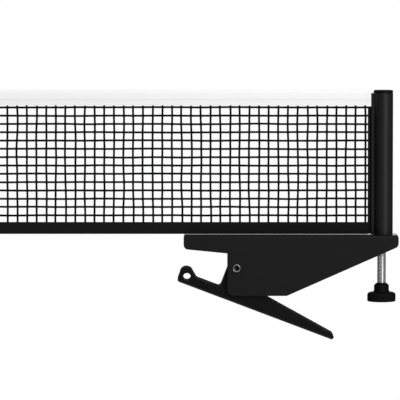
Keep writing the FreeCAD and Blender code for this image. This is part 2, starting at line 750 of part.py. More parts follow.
def make_net():
    """One flat face with a hole for each gap, given the cords' thickness."""
    half = number("cord_width / 2")
    left = number("cloth + snug - net_reach")
    right = number(BINDING_X)
    low, high = number(f"{BAND_TOP} - band_tuck"), number(f"{TAPE_BOTTOM} + tuck")
    uprights = cord_places(
        right - number("first_upright"), number("upright_pitch"), number("hem - net_reach") + half
    )
    levels = cord_places(
        number(f"{TAPE_BOTTOM} - first_level"), number("level_pitch"), number(BAND_TOP) + half
    )
    # The gaps beside the binding leave half a cord there, so that the face stays whole.
    across = [(right - half, uprights[0] + half)]
    across += [(a - half, b + half) for a, b in zip(uprights, uprights[1:])]
    across.append((uprights[-1] - half, number("hem - net_reach")))
    up = [(a - half, b + half) for a, b in zip(levels, levels[1:])]
    up.append((levels[-1] - half, number(BAND_TOP)))

    def rectangle(x0, z0, x1, z1):
        corners = [(x0, z0), (x1, z0), (x1, z1), (x0, z1), (x0, z0)]
        return Part.makePolygon([FreeCAD.Vector(x, 0, z) for x, z in corners])

    gaps = [rectangle(x1, z1, x0, z0) for x0, x1 in across for z0, z1 in up]
    outline = [rectangle(left, low, right, high)]
    face = Part.makeFace(outline + gaps, "Part::FaceMakerBullseye")
    thickness = number("net_thickness")
    face.translate(FreeCAD.Vector(0, -thickness / 2, 0))
    net = doc.addObject("Part::Feature", "net_mesh")
    net.Label = "net_mesh"
    net.Shape = face.extrude(FreeCAD.Vector(0, thickness, 0))
    net.Placement = FreeCAD.Placement()
    sub_parts.append(net)
    print(f"net: {len(gaps)} gaps")


def make_tapes():
    """The folded tapes along the net's top and bottom, the cord in the top one, and the far hem."""
    outside, inside = "tape_thickness / 2", "(tape_thickness / 2 - cloth)"
    for name, open_end, fold_end, layer, end in (
        ("top_tape", TAPE_BOTTOM, TAPE_TOP, "-cloth", TAPE_X),
        ("bottom_tape", BAND_TOP, BAND_BOTTOM, "+ cloth", BINDING_X),
    ):
        body = new_body(name)
        section = new_sketch(body, "YZ_Plane", "-net_reach")
        add_outline(
            section,
            [
                (f"-{outside}", open_end),
                (f"-{outside}", fold_end, f"0.9 * {outside}"),
                (outside, fold_end, f"0.9 * {outside}"),
                (outside, open_end),
                (inside, open_end),
                (inside, f"{fold_end} {layer}", f"0.9 * {inside}"),
                (f"-{inside}", f"{fold_end} {layer}", f"0.9 * {inside}"),
                (f"-{inside}", open_end),
            ],
        )
        pad(body, section, f"net_reach + {end}")
    body = new_body("top_cord")
    section = new_sketch(body, "YZ_Plane", "-net_reach")
    add_circle(section, "0", f"{TAPE_TOP} - cloth - snug - {inside}", "cord_radius")
    pad(body, section, f"net_reach + {TAPE_X}")

    body = new_body("end_hem")
    section = new_sketch(body, "XY_Plane", f"{BAND_TOP} + snug")
    outer, inner = "(net_thickness / 2 + snug + cloth)", "(net_thickness / 2 + snug)"
    far, near, fold = "-net_reach", "hem - net_reach", "cloth - net_reach"
    add_outline(
        section,
        [
            (far, f"-{outer}"),
            (near, f"-{outer}"),
            (near, f"-{inner}"),
            (fold, f"-{inner}"),
            (fold, inner),
            (near, inner),
            (near, outer),
            (far, outer),
        ],
    )
    pad(body, section, f"{TAPE_BOTTOM} - {BAND_TOP} - 2 * snug")


def check_and_write():
    doc.recompute()
    for item in doc.Objects:
        if {"Invalid", "Error"} & set(item.State):
            raise RuntimeError(f"{item.Name} failed: {item.State}")
    for item in sub_parts:
        if item.Shape.isNull() or not item.Shape.isValid():
            raise RuntimeError(f"{item.Label} has no valid shape")
    os.makedirs("parts", exist_ok=True)
    for item in sub_parts:
        item.Shape.exportStep(f"parts/{item.Label}.step")
        box = item.Shape.BoundBox
        print(
            f"{item.Label}: {len(item.Shape.Solids)} solid, {item.Shape.Volume:.0f} mm3, "
            f"X {box.XMin:.1f} to {box.XMax:.1f}, Y {box.YMin:.1f} to {box.YMax:.1f}, "
            f"Z {box.ZMin:.1f} to {box.ZMax:.1f}"
        )


make_housing()
make_jaw()
make_pivot()
make_lever()
make_nose()
make_stop()
make_spring()
make_height_gear()
make_knob()
make_post()
make_welt()
make_net()
make_tapes()
check_and_write()
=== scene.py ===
"""The looks of a table tennis net clamp: its paint, metal, cords and tapes, its light and camera.

Everything is in metres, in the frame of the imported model: X away from the table, Y across the clamp,
Z up, with the origin at the table's top edge.
"""

import json
import math

import bmesh
import bpy
import numpy as np
from bpy.props import FloatProperty, FloatVectorProperty, IntProperty, PointerProperty
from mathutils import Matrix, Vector

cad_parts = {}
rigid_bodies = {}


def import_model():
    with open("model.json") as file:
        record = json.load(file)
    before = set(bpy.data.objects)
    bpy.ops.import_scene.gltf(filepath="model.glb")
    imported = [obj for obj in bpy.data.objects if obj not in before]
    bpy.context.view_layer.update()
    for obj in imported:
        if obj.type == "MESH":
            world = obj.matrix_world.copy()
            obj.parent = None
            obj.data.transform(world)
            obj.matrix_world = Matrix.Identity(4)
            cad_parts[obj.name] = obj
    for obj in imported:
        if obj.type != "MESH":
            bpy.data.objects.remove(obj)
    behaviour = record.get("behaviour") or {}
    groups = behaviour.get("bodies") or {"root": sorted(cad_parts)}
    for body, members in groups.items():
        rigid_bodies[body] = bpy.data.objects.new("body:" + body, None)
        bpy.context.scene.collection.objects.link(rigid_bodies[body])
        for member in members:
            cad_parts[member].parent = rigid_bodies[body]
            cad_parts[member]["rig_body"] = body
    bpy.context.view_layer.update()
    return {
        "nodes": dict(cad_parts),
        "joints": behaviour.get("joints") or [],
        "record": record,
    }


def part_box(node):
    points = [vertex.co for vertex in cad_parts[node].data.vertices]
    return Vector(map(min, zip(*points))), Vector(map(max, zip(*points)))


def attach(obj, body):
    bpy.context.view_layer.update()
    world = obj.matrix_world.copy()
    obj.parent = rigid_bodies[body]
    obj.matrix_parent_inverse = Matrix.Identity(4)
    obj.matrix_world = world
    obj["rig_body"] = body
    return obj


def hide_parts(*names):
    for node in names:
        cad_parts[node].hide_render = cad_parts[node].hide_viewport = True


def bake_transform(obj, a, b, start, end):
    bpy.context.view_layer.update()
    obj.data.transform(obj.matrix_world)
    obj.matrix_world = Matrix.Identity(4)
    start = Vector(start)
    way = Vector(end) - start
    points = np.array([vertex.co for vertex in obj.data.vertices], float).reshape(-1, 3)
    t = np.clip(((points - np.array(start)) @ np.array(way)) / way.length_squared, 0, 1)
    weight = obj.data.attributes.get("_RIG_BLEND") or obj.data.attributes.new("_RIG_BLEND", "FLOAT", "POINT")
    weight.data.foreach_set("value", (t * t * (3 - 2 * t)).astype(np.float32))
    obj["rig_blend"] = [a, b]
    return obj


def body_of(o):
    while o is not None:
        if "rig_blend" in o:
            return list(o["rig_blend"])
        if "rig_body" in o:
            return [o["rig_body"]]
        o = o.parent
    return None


bl_info = {
    "name": "Net clamp",
    "version": (1, 0, 0),
    "blender": (4, 5, 0),
    "location": "3D View > Sidebar > Net clamp",
    "description": "Builds the finished surfaces of a table tennis net clamp",
    "category": "Add Mesh",
}

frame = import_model()

MM = 0.001
FULL_TURN = 2 * math.pi
NEAR_AXIS = 0.1 * MM
LIGHT_DISTANCE = 2.4
HOUSING, LEVER, POST, KNOB = "housing_body", "lever_body", "post_body", "knob_body"
JOINTS = {joint["name"]: joint for joint in frame["joints"]}


def size_of(name, default, description):
    """A length in metres, from its default in millimetres."""
    look = {"min": 0, "precision": 5, "subtype": "DISTANCE", "unit": "LENGTH"}
    return FloatProperty(name=name, description=description, default=default * MM, **look)


def place_of(name, default, description):
    """A length or a place in metres."""
    return FloatProperty(name=name, description=description, default=default, unit="LENGTH")


def colour_of(name, default, description):
    """A base colour, in linear light."""
    look = {"size": 3, "min": 0, "max": 1, "subtype": "COLOR"}
    return FloatVectorProperty(name=name, description=description, default=default, **look)


class ClampSizes(bpy.types.PropertyGroup):
    """Sizes that the finished surfaces add to the frame."""

    steel_edge: size_of("Steel edge", 0.3, "Rounding on the edges of the sheet steel")
    fine_edge: size_of("Fine edge", 0.2, "Rounding on the edges of small metal pieces")
    thread_pitch: size_of("Thread pitch", 1.25, "Rise of the screw's thread in one turn")
    flutes: IntProperty(name="Flutes", description="Grip flutes round the knob", default=30, min=3)
    flute_depth: size_of("Flute depth", 0.5, "Depth of the knob's grip flutes")
    pad_rib: size_of("Pad rib", 2.3, "Spacing of the ribs across the upper jaw's pad")
    pad_groove: size_of("Pad groove", 0.7, "Depth of the grooves in the upper jaw's pad")
    wire: size_of("Spring wire", 2.6, "Diameter of the torsion spring's wire")
    upper_leg: size_of("Upper leg", 30, "Length of the spring's leg on the housing")
    lower_leg: size_of("Lower leg", 42, "Length of the spring's leg on the lever")
    cord: size_of("Net cord", 1.98, "Width of the net's cords")
    column_pitch: size_of("Column pitch", 8.907, "Spacing of the net's upright cords")
    row_pitch: size_of("Row pitch", 7.66, "Spacing of the net's level cords")
    first_column: size_of("First column", 2.46, "From the side binding to the first upright cord")
    first_row: size_of("First row", 1.6, "From the top tape down to the first level cord")
    sideways: size_of("Sideways", 0.26, "How far the upright cords stray from a straight line")
    up_down: size_of("Up and down", 0.12, "How far the level cords stray from a straight line")
    cloth: size_of("Cloth", 0.45, "Thickness of one layer of tape")
    seam: size_of("Seam", 5.6, "Height of the top tape's seam above its lower edge")
    stitch_pitch: size_of("Stitch pitch", 2.9, "Spacing of the stitches in the tapes' seams")
    rib_pitch: size_of("Rib pitch", 1.25, "Spacing of the ribs on the black tapes")


class ClampColours(bpy.types.PropertyGroup):
    """Base colours of the finishes."""

    housing: colour_of("Housing paint", (0.0080, 0.0080, 0.0083), "Satin black powder coat")
    lever: colour_of("Lever paint", (0.0038, 0.0038, 0.0040), "Smooth black paint")
    post: colour_of("Post coat", (0.0020, 0.0020, 0.0021), "Satin black coat on the post")
    plastic: colour_of("Plastic", (0.0034, 0.0034, 0.0036), "Moulded black plastic")
    rubber: colour_of("Rubber", (0.0060, 0.0060, 0.0060), "Black grip rubber")
    zinc: colour_of("Zinc", (0.6, 0.6, 0.61), "Bright zinc plate")
    screw: colour_of("Screw", (0.42, 0.42, 0.425), "Duller zinc plate of the height screw")
    rivet: colour_of("Rivet", (0.42, 0.42, 0.42), "Nickel plate of the hollow rivet")
    spring: colour_of("Spring", (0.23, 0.23, 0.24), "Oiled spring wire")
    twine: colour_of("Twine", (0.0030, 0.0030, 0.0032), "Black cords of the net")
    webbing: colour_of("Webbing", (0.0085, 0.0085, 0.0088), "Black ribbed tape")
    tape: colour_of("White tape", (0.885, 0.885, 0.885), "Coated white tape")
    thread: colour_of("White thread", (0.82, 0.82, 0.81), "Sewing thread on the white tape")


class ClampView(bpy.types.PropertyGroup):
    """Camera and light."""

    across: place_of("Across", 0.3686, "Width of the picture at the clamp")
    centre_x: place_of("Centre X", -0.0252, "Middle of the picture, X")
    centre_z: place_of("Centre Z", 0.04844, "Middle of the picture, Z")
    floor_drop: place_of("Floor drop", 0.76, "Height of the table's top above the floor")
    elevation: FloatProperty(
        name="Elevation", description="Angle of the camera above the horizon",
        default=math.radians(4.0), subtype="ANGLE", unit="ROTATION",
    )
    lens: FloatProperty(name="Lens", description="Focal length in millimetres", default=400.0)
    room_light: FloatProperty(
        name="Room light", description="Even light from all round", default=0.5
    )
    key_light: FloatProperty(
        name="Key light", description="Power of the tall soft light, in watts", default=36.0
    )


def sizes():
    return bpy.context.scene.clamp_sizes


def colours():
    return bpy.context.scene.clamp_colours


def box_of(node):
    """Lowest and highest corner of a CAD node, as numpy arrays."""
    low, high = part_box(node)
    return np.array(low), np.array(high)


# Surfaces


def add_object(name, mesh, material, body=None):
    """An object at the origin with that mesh and material, riding on a body."""
    piece = bpy.data.objects.new(name, mesh)
    bpy.context.scene.collection.objects.link(piece)
    mesh.materials.clear()
    mesh.materials.append(material)
    if body:
        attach(piece, body)
    return piece


def smooth_below(mesh, angle):
    """Smooth shading where faces meet at less than that angle in degrees."""
    mesh.shade_smooth()
    mesh.set_sharp_from_angle(angle=math.radians(angle))


def stands_for(piece, node):
    """Hides the CAD node that a piece shows, and gives back the piece."""
    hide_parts(node)
    return piece


class Surface:
    """Gathers closed skins of points into one mesh, with a UV pair for each face corner."""

    def __init__(self):
        self.points, self.faces, self.uvs, self.count = [], [], [], 0

    def skin(self, points, along, girth):
        """Adds a skin of rings, or several such skins at once, with a face on each end.

        points has the shape (..., rings, points of a ring, 3). along holds each ring's length
        coordinate. girth is the way round a ring in metres, or the coordinates along that way,
        with one more entry for the return to the first point.
        """
        rows, columns = points.shape[-3:-1]
        skins = points.reshape(-1, rows, columns, 3)
        around = np.linspace(0, girth, columns + 1) if np.ndim(girth) == 0 else girth
        row, column = (a.ravel() for a in np.mgrid[0 : rows - 1, 0:columns])
        corner_row = np.stack([row, row, row + 1, row + 1], 1)
        corner_column = np.stack([column, column + 1, column + 1, column], 1)
        quads = corner_row * columns + corner_column % columns
        uv = np.stack([around[corner_column], along[corner_row]], -1)
        inward = self._volume(skins[0], quads) < 0
        if inward:
            quads, uv = quads[:, ::-1], uv[:, ::-1]
        for skin in skins:
            self.points.append(skin.reshape(-1, 3))
            self.faces += (quads + self.count).tolist()
            self.uvs.append(uv.reshape(-1, 2))
            first = list(range(self.count, self.count + columns))
            last = [i + (rows - 1) * columns for i in first]
            for end in (first, last[::-1]) if inward else (first[::-1], last):
                self.faces.append(end)
                self.uvs.append(np.zeros((columns, 2)))
            self.count += rows * columns
        return self

    @staticmethod
    def _volume(skin, quads):
        """Six times the volume inside a skin, seen from its own middle."""
        corners = (skin.reshape(-1, 3) - skin.mean((0, 1)))[quads]
        halves = np.concatenate([corners[:, [0, 1, 2]], corners[:, [0, 2, 3]]])
        return np.einsum("ij,ij->", halves[:, 0], np.cross(halves[:, 1], halves[:, 2]))

    def turned(self, profile, sides, centre, radius, **shape):
        """Adds a profile turned about an axis, with the given radius for the way round it."""
        rings = turned(profile, sides, centre, **shape)
        return self.skin(rings, distance_along(profile), FULL_TURN * radius)

    def piece(self, name, material, body=None, node=None, angle=50.0):
        """Makes the object, smooth below that angle, riding on a body and standing for a node."""
        mesh = bpy.data.meshes.new(name)
        mesh.from_pydata(np.concatenate(self.points).tolist(), [], self.faces)
        layer = mesh.uv_layers.new(name="surface")
        layer.data.foreach_set("uv", np.concatenate(self.uvs).ravel())
        mesh.update()
        smooth_below(mesh, angle)
        piece = add_object(name, mesh, material, body)
        return stands_for(piece, node) if node else piece


def smooth_line(knots, steps):
    """A curve through evenly timed knots, shape (..., knots, values), with some steps a span.

    Each span is the cubic that leaves and arrives in the direction between its neighbours.
    """
    before = np.concatenate([2 * knots[..., :1, :] - knots[..., 1:2, :], knots[..., :-1, :]], -2)
    after = np.concatenate([knots[..., 1:, :], 2 * knots[..., -1:, :] - knots[..., -2:-1, :]], -2)
    slope = (after - before) / 2
    start, end = knots[..., :-1, None, :], knots[..., 1:, None, :]
    leave, arrive = slope[..., :-1, None, :], slope[..., 1:, None, :]
    t = (np.arange(steps) / steps)[:, None]
    line = start * (2 * t**3 - 3 * t**2 + 1) + leave * (t**3 - 2 * t**2 + t)
    line = line + end * (3 * t**2 - 2 * t**3) + arrive * (t**3 - t**2)
    line = line.reshape(*knots.shape[:-2], -1, knots.shape[-1])
    return np.concatenate([line, knots[..., -1:, :]], -2)


def rounded_line(corners, steps=5):
    """A line through corners (a, b[, radius]), each rounded by an arc that touches both sides."""
    places = np.array([corner[:2] for corner in corners], float)
    line = [places[0]]
    for i in range(1, len(corners) - 1):
        if len(corners[i]) < 3:
            line.append(places[i])
            continue
        back, on = places[i - 1] - places[i], places[i + 1] - places[i]
        back, on = back / np.hypot(*back), on / np.hypot(*on)
        half = math.acos(np.clip(back @ on, -1, 1)) / 2
        middle = (back + on) / np.hypot(*(back + on))
        centre = places[i] + middle * corners[i][2] / math.sin(half)
        sweep = math.pi / 2 - half
        side = back - (back @ middle) * middle
        side /= np.hypot(*side)
        for angle in np.linspace(sweep, -sweep, steps):
            way = -middle * math.cos(angle) + side * math.sin(angle)
            line.append(centre + corners[i][2] * way)
    line.append(places[-1])
    return np.array(line)


def distance_along(path):
    """The way along a path to each of its points, as the sum of the straight steps before it."""
    steps = np.linalg.norm(np.diff(path, axis=-2), axis=-1)
    return np.concatenate([np.zeros_like(steps[..., :1]), np.cumsum(steps, -1)], -1)


def tube(path, radius, sides, lobes=0, lobe=0.0, lay=1.0):
    """Rings round a path, shape (..., points, 3), which is nowhere parallel to Y.

    A ring's first axis is square to the path and to Y, and its second is square to the path and to
    the first. Lobes, for the strands of a cord, turn once round in each lay.
    """
    way = np.gradient(path, axis=-2)
    way /= np.linalg.norm(way, axis=-1, keepdims=True)
    first = np.cross(way, (0, 1, 0))
    first /= np.linalg.norm(first, axis=-1, keepdims=True)
    second = np.cross(first, way)
    run = distance_along(path)
    angle = np.arange(sides) * FULL_TURN / sides
    reach = np.broadcast_to(radius, run.shape)[..., None]
    if lobes:
        reach = reach * (1 + lobe * np.cos(lobes * (angle - FULL_TURN * run[..., None] / lay)))
    reach = (reach * np.ones(sides))[..., None]
    ring = first[..., None, :] * np.cos(angle)[:, None] + second[..., None, :] * np.sin(angle)[:, None]
    return path[..., None, :] + ring * reach


def turned(profile, sides, centre, flat=None, axis="Z"):
    """A profile of (radius, height) turned about an upright axis, or about a level one along Y.

    flat, if given, takes the profile's rows and the angles and returns a factor for the radius.
    """
    angle = np.arange(sides) * FULL_TURN / sides
    reach = profile[:, :1] * (flat(profile, angle) if flat else np.ones(sides))
    a, b, height = reach * np.cos(angle), reach * np.sin(angle), profile[:, 1:] * np.ones(sides)
    if axis == "Z":
        return np.stack([centre[0] + a, centre[1] + b, height], -1)
    return np.stack([centre[0] + a, height, centre[1] + b], -1)


def line_of(*coordinates):
    """Points from coordinates, any of which may be one number for all of them."""
    return np.stack(np.broadcast_arrays(*coordinates), -1)


def softened(node, name, material, width, segments=2):
    """A copy of a CAD node whose sharp edges are rounded, which then stands for the node.

    The copy's triangles are joined to whole faces first, so that the rounding follows true edges.
    """
    source = frame["nodes"][node]
    body = body_of(source)
    mesh = source.data.copy()
    mesh.name = name
    work = bmesh.new()
    work.from_mesh(mesh)
    bmesh.ops.remove_doubles(work, verts=work.verts, dist=MM / 1000)
    flat = math.radians(0.5)
    bmesh.ops.dissolve_limit(work, angle_limit=flat, verts=work.verts, edges=work.edges)
    work.to_mesh(mesh)
    work.free()
    smooth_below(mesh, 35)
    piece = add_object(name, mesh, material, body[0] if isinstance(body, (list, tuple)) else body)
    bevel = piece.modifiers.new("rounded edges", "BEVEL")
    bevel.width, bevel.segments = width, segments
    bevel.limit_method, bevel.angle_limit = "ANGLE", math.radians(40)
    bevel.harden_normals, bevel.miter_outer = True, "MITER_ARC"
    return stands_for(piece, node)


# Effects, each a node group that several finishes share


class Nodes:
    """Adds nodes to a tree, with their inputs given as plain values or as other nodes' sockets."""

    def __init__(self, tree):
        self.tree = tree

    def add(self, kind, given=None, **settings):
        node = self.tree.nodes.new(kind)
        for setting, value in settings.items():
            setattr(node, setting, value)
        for socket, value in (given or {}).items():
            if isinstance(value, bpy.types.NodeSocket):
                self.tree.links.new(value, node.inputs[socket])
            else:
                node.inputs[socket].default_value = value
        return node

    def maths(self, operation, *values):
        return self.add("ShaderNodeMath", dict(enumerate(values)), operation=operation).outputs[0]

    def vector(self, operation, first, second):
        given = {0: first, "Scale" if operation == "SCALE" else 1: second}
        return self.add("ShaderNodeVectorMath", given, operation=operation).outputs[0]

    def in_units(self, place, unit):
        """A place measured in a unit of length."""
        return self.vector("SCALE", place, self.maths("DIVIDE", 1.0, unit))

    def parts(self, vector):
        return self.add("ShaderNodeSeparateXYZ", {0: vector}).outputs

    def noise(self, place, scale, detail):
        given = {"Vector": place, "Scale": scale, "Detail": detail}
        return self.add("ShaderNodeTexNoise", given).outputs[0]

    def arches(self, value):
        """One rounded arch for each whole step of the value."""
        return self.maths("ABSOLUTE", self.maths("SINE", self.maths("MULTIPLY", value, math.pi)))

    def ramp(self, value, start, end, low=0.0, high=1.0, **settings):
        """Goes from low to high while the value goes from start to end."""
        given = {"Value": value, "From Min": start, "From Max": end, "To Min": low, "To Max": high}
        return self.add("ShaderNodeMapRange", given, **settings).outputs[0]


def effect(name, inputs, outputs):
    """Turns a function that builds a shader node group into one that gives the group, built once.

    inputs are (name, default), and a default of None means a vector.
    """

    def build_once(build):
        def group():
            tree = bpy.data.node_groups.get(name)
            if tree:
                return tree
            tree = bpy.data.node_groups.new(name, "ShaderNodeTree")
            for socket, default in inputs:
                kind = "NodeSocketVector" if default is None else "NodeSocketFloat"
                item = tree.interface.new_socket(socket, in_out="INPUT", socket_type=kind)
                if default is not None:
                    item.default_value = default
            for socket in outputs:
                tree.interface.new_socket(socket, in_out="OUTPUT", socket_type="NodeSocketFloat")
            nodes = Nodes(tree)
            made = build(nodes, nodes.add("NodeGroupInput").outputs)
            nodes.add("NodeGroupOutput", dict(zip(outputs, made)))
            return tree

        return group

    return build_once


@effect("fine grain", [("Place", None), ("Feature", 0.0005), ("Swell", 1.0)], ["Height"])
def fine_grain(nodes, given):
    """Fine bumps of a given feature size, with a coarser swell of five times that size."""
    place = nodes.in_units(given["Place"], given["Feature"])
    fine, swell = nodes.noise(place, 1.0, 2.0), nodes.noise(place, 0.2, 0.0)
    return [nodes.maths("MULTIPLY_ADD", swell, given["Swell"], fine)]


@effect("uneven value", [("Place", None), ("Patch", 0.02), ("Least", 0.4), ("Most", 0.5)], ["Value"])
def uneven_value(nodes, given):
    """A value that drifts between two limits in soft patches of a given size."""
    noise = nodes.noise(nodes.in_units(given["Place"], given["Patch"]), 1.0, 3.0)
    return [nodes.ramp(noise, 0.3, 0.7, given["Least"], given["Most"])]


@effect("drawn lines", [("Place", None), ("Spacing", None)], ["Height"])
def drawn_lines(nodes, given):
    """Fine scratches that run along the piece, as drawing or brushing leaves them."""
    return [nodes.noise(nodes.vector("DIVIDE", given["Place"], given["Spacing"]), 1.0, 3.0)]


@effect("plain weave", [("Cloth", None), ("Thread", 0.0004), ("Depth", 0.3)], ["Height", "Shade"])
def plain_weave(nodes, given):
    """Threads that pass over and under each other, on a UV map in metres. Shade is a painted shade, darker
    where a thread dips under the one across it.
    """
    place = nodes.in_units(given["Cloth"], given["Thread"])
    parts = nodes.parts(place)
    arch_u, arch_v = nodes.arches(parts[0]), nodes.arches(parts[1])
    over = nodes.add("ShaderNodeTexChecker", {"Vector": place, "Scale": 1.0}).outputs["Fac"]
    lower = nodes.maths("MULTIPLY", arch_v, nodes.maths("SUBTRACT", 1.0, over))
    height = nodes.maths("MULTIPLY_ADD", arch_u, over, lower)
    least = nodes.maths("SUBTRACT", 1.0, given["Depth"])
    return [height, nodes.maths("MULTIPLY_ADD", height, given["Depth"], least)]


@effect("twisted strands", [("Cord", None), ("Strand", 0.0008), ("Slope", 1.0)], ["Height"])
def twisted_strands(nodes, given):
    """Strands that wind round a cord, on a UV map of metres around and along it."""
    parts = nodes.parts(given["Cord"])
    run = nodes.maths("ADD", parts[1], nodes.maths("MULTIPLY", parts[0], given["Slope"]))
    turns = nodes.maths("MULTIPLY", nodes.maths("DIVIDE", run, given["Strand"]), FULL_TURN)
    return [nodes.maths("MULTIPLY_ADD", nodes.maths("SINE", turns), 0.5, 0.5)]


@effect("cloth ribs", [("Cloth", None), ("Pitch", 0.001)], ["Height"])
def cloth_ribs(nodes, given):
    """Rounded ribs across a tape, on a UV map in metres, in step with the ribs of its mesh; their height
    paints shade into the valleys between them.
    """
    return [nodes.arches(nodes.maths("DIVIDE", nodes.parts(given["Cloth"])[1], given["Pitch"]))]


# Finishes


class Finish:
    """A material with one Principled BSDF, and the places that its patterns read."""

    def __init__(self, name, colour, roughness, metallic=0.0, specular=0.5):
        self.material = bpy.data.materials.new(name)
        self.material.use_nodes = True
        self.nodes = Nodes(self.material.node_tree)
        self.surface = self.material.node_tree.nodes["Principled BSDF"].inputs
        self.surface["Base Color"].default_value = (*colour, 1)
        self.surface["Roughness"].default_value = roughness
        self.surface["Metallic"].default_value = metallic
        self.surface["Specular IOR Level"].default_value = specular
        places = self.nodes.add("ShaderNodeTexCoord").outputs
        self.place, self.cloth = places["Object"], places["UV"]
        self.colour = colour

    def link(self, value, socket):
        self.nodes.tree.links.new(value, self.surface[socket])

    def effect(self, make, **given):
        return self.nodes.add("ShaderNodeGroup", given, node_tree=make()).outputs

    def roughness(self, least, most, patch):
        value = self.effect(uneven_value, Place=self.place, Patch=patch, Least=least, Most=most)
        self.link(value[0], "Roughness")

    def sharper_at_grazing(self, roughness):
        """Reflections that sharpen to the given roughness where the surface is seen edge on."""
        facing = self.nodes.add("ShaderNodeLayerWeight", {"Blend": 0.5}).outputs["Facing"]
        edge_on = self.nodes.ramp(facing, 0.75, 0.92)
        given = self.surface["Roughness"].links[0].from_socket
        mix = self.nodes.add("ShaderNodeMix", {"Factor": edge_on, "A": given})
        mix.inputs["B"].default_value = roughness
        self.link(mix.outputs["Result"], "Roughness")

    def shade(self, factor, strength):
        """Darkens the colour where the factor is low; the finishes use it to paint shade into holes,
        grooves, ribs and weave, and to darken the white tape below its seam.
        """
        mix = self.nodes.add("ShaderNodeMix", {"Factor": factor}, data_type="RGBA")
        mix.inputs["A"].default_value = (*(c * (1 - strength) for c in self.colour), 1)
        mix.inputs["B"].default_value = (*self.colour, 1)
        self.link(mix.outputs["Result"], "Base Color")

    def bump(self, height, distance):
        bump = self.nodes.add("ShaderNodeBump", {"Height": height, "Distance": distance})
        self.link(bump.outputs[0], "Normal")


FINISHES = {}


def finish_of(make):
    """Turns a finish's function into one that makes its material at the first use and keeps it."""

    def material():
        name = make.__name__
        if name not in FINISHES:
            FINISHES[name] = make(name).material
        return FINISHES[name]

    return material


def painted(name, colour, feature, relief, gloss, specular):
    """Paint or plastic with a grain of that feature size and relief, and a range of roughness."""
    finish = Finish(name, colour, gloss[0], specular=specular)
    grain = finish.effect(fine_grain, Place=finish.place, Feature=feature, Swell=1.5)
    finish.bump(grain["Height"], relief)
    finish.roughness(*gloss, 0.018)
    return finish


@finish_of
def powder_coat(name):
    finish = painted(name, colours().housing, 0.00035, 0.00003, (0.42, 0.48), 0.13)
    finish.sharper_at_grazing(0.2)
    return finish


@finish_of
def smooth_enamel(name):
    return painted(name, colours().lever, 0.0006, 0.00002, (0.38, 0.44), 0.13)


@finish_of
def dull_enamel(name):
    return painted(name, colours().lever, 0.0006, 0.00002, (0.6, 0.7), 0.02)


@finish_of
def moulded_plastic(name):
    return painted(name, colours().plastic, 0.00025, 0.00002, (0.4, 0.5), 0.08)


@finish_of
def moulded_rubber(name):
    return painted(name, colours().rubber, 0.0002, 0.00004, (0.7, 0.85), 0.3)


@finish_of
def post_coat(name):
    finish = Finish(name, colours().post, 0.5, specular=0.38)
    lines = finish.effect(drawn_lines, Place=finish.place, Spacing=(0.0004, 0.0004, 0.05))
    finish.bump(lines["Height"], 0.000012)
    finish.roughness(0.47, 0.53, 0.03)
    return finish


@finish_of
def screw_zinc(name):
    finish = Finish(name, colours().screw, 0.3, metallic=1.0)
    finish.roughness(0.26, 0.34, 0.004)
    return finish


@finish_of
def zinc_plate(name):
    finish = Finish(name, colours().zinc, 0.28, metallic=1.0)
    grain = finish.effect(fine_grain, Place=finish.place, Feature=0.0003, Swell=0.5)
    finish.bump(grain["Height"], 0.000008)
    finish.roughness(0.22, 0.36, 0.003)
    return finish


@finish_of
def rivet_nickel_shaded_hole(name):
    """Nickel with its full colour on the rolled rims, and a painted shade that darkens it down in the holes.
    """
    finish = Finish(name, colours().rivet, 0.3, metallic=1.0)
    end = box_of("pivot_rivet")[1][1]
    # Painted shade: from 0.2 mm to 0.9 mm below the rivet's end the colour darkens, standing for the shadow
    # down in its hollow.
    across = finish.nodes.maths("ABSOLUTE", finish.nodes.parts(finish.place)[1])
    finish.shade(finish.nodes.ramp(across, end - 0.9 * MM, end - 0.2 * MM), 0.82)
    finish.roughness(0.25, 0.4, 0.002)
    return finish


@finish_of
def spring_wire(name):
    finish = Finish(name, colours().spring, 0.3, metallic=1.0)
    lines = finish.effect(drawn_lines, Place=finish.cloth, Spacing=(0.0003, 0.02, 1.0))
    finish.bump(lines["Height"], 0.00001)
    finish.roughness(0.24, 0.4, 0.006)
    return finish


@finish_of
def knitted_twine(name):
    finish = Finish(name, colours().twine, 0.85, specular=0.08)
    strands = finish.effect(twisted_strands, Cord=finish.cloth, Strand=0.0009, Slope=0.7)
    finish.bump(strands["Height"], 0.00012)
    # Painted shade: the colour darkens in the grooves between the twisted strands.
    finish.shade(strands["Height"], 0.35)
    return finish


@finish_of
def white_thread(name):
    finish = Finish(name, colours().thread, 0.6, specular=0.2)
    strands = finish.effect(twisted_strands, Cord=finish.cloth, Strand=0.0004, Slope=0.8)
    finish.bump(strands["Height"], 0.00004)
    # Painted shade: the colour darkens in the grooves between the twisted strands.
    finish.shade(strands["Height"], 0.12)
    return finish


@finish_of
def coated_tape(name):
    """Coated tape, a little darker below its seam, where the net between its layers shows through, with
    painted shade along the seam's groove and in the weave.
    """
    finish = Finish(name, colours().tape, 0.55, specular=0.2)
    nodes = finish.nodes
    weave = finish.effect(plain_weave, Cloth=finish.cloth, Thread=0.0004, Depth=1.0)
    finish.bump(weave["Height"], 0.00001)
    seam = box_of("top_tape")[0][2] + sizes().seam
    height = nodes.parts(finish.place)[2]
    above = nodes.ramp(height, seam - 0.3 * MM, seam + 0.5 * MM)
    away = nodes.maths("ABSOLUTE", nodes.maths("SUBTRACT", height, seam))
    # Painted shade: a dark line along the seam stands for the shadow in its stitched groove.
    groove = nodes.ramp(away, 0.3 * MM, 1.1 * MM)
    lines = nodes.maths("MULTIPLY_ADD", groove, 0.3, nodes.maths("MULTIPLY", above, 0.4))
    finish.shade(nodes.maths("MULTIPLY_ADD", weave["Shade"], 0.3, lines), 0.14)
    return finish


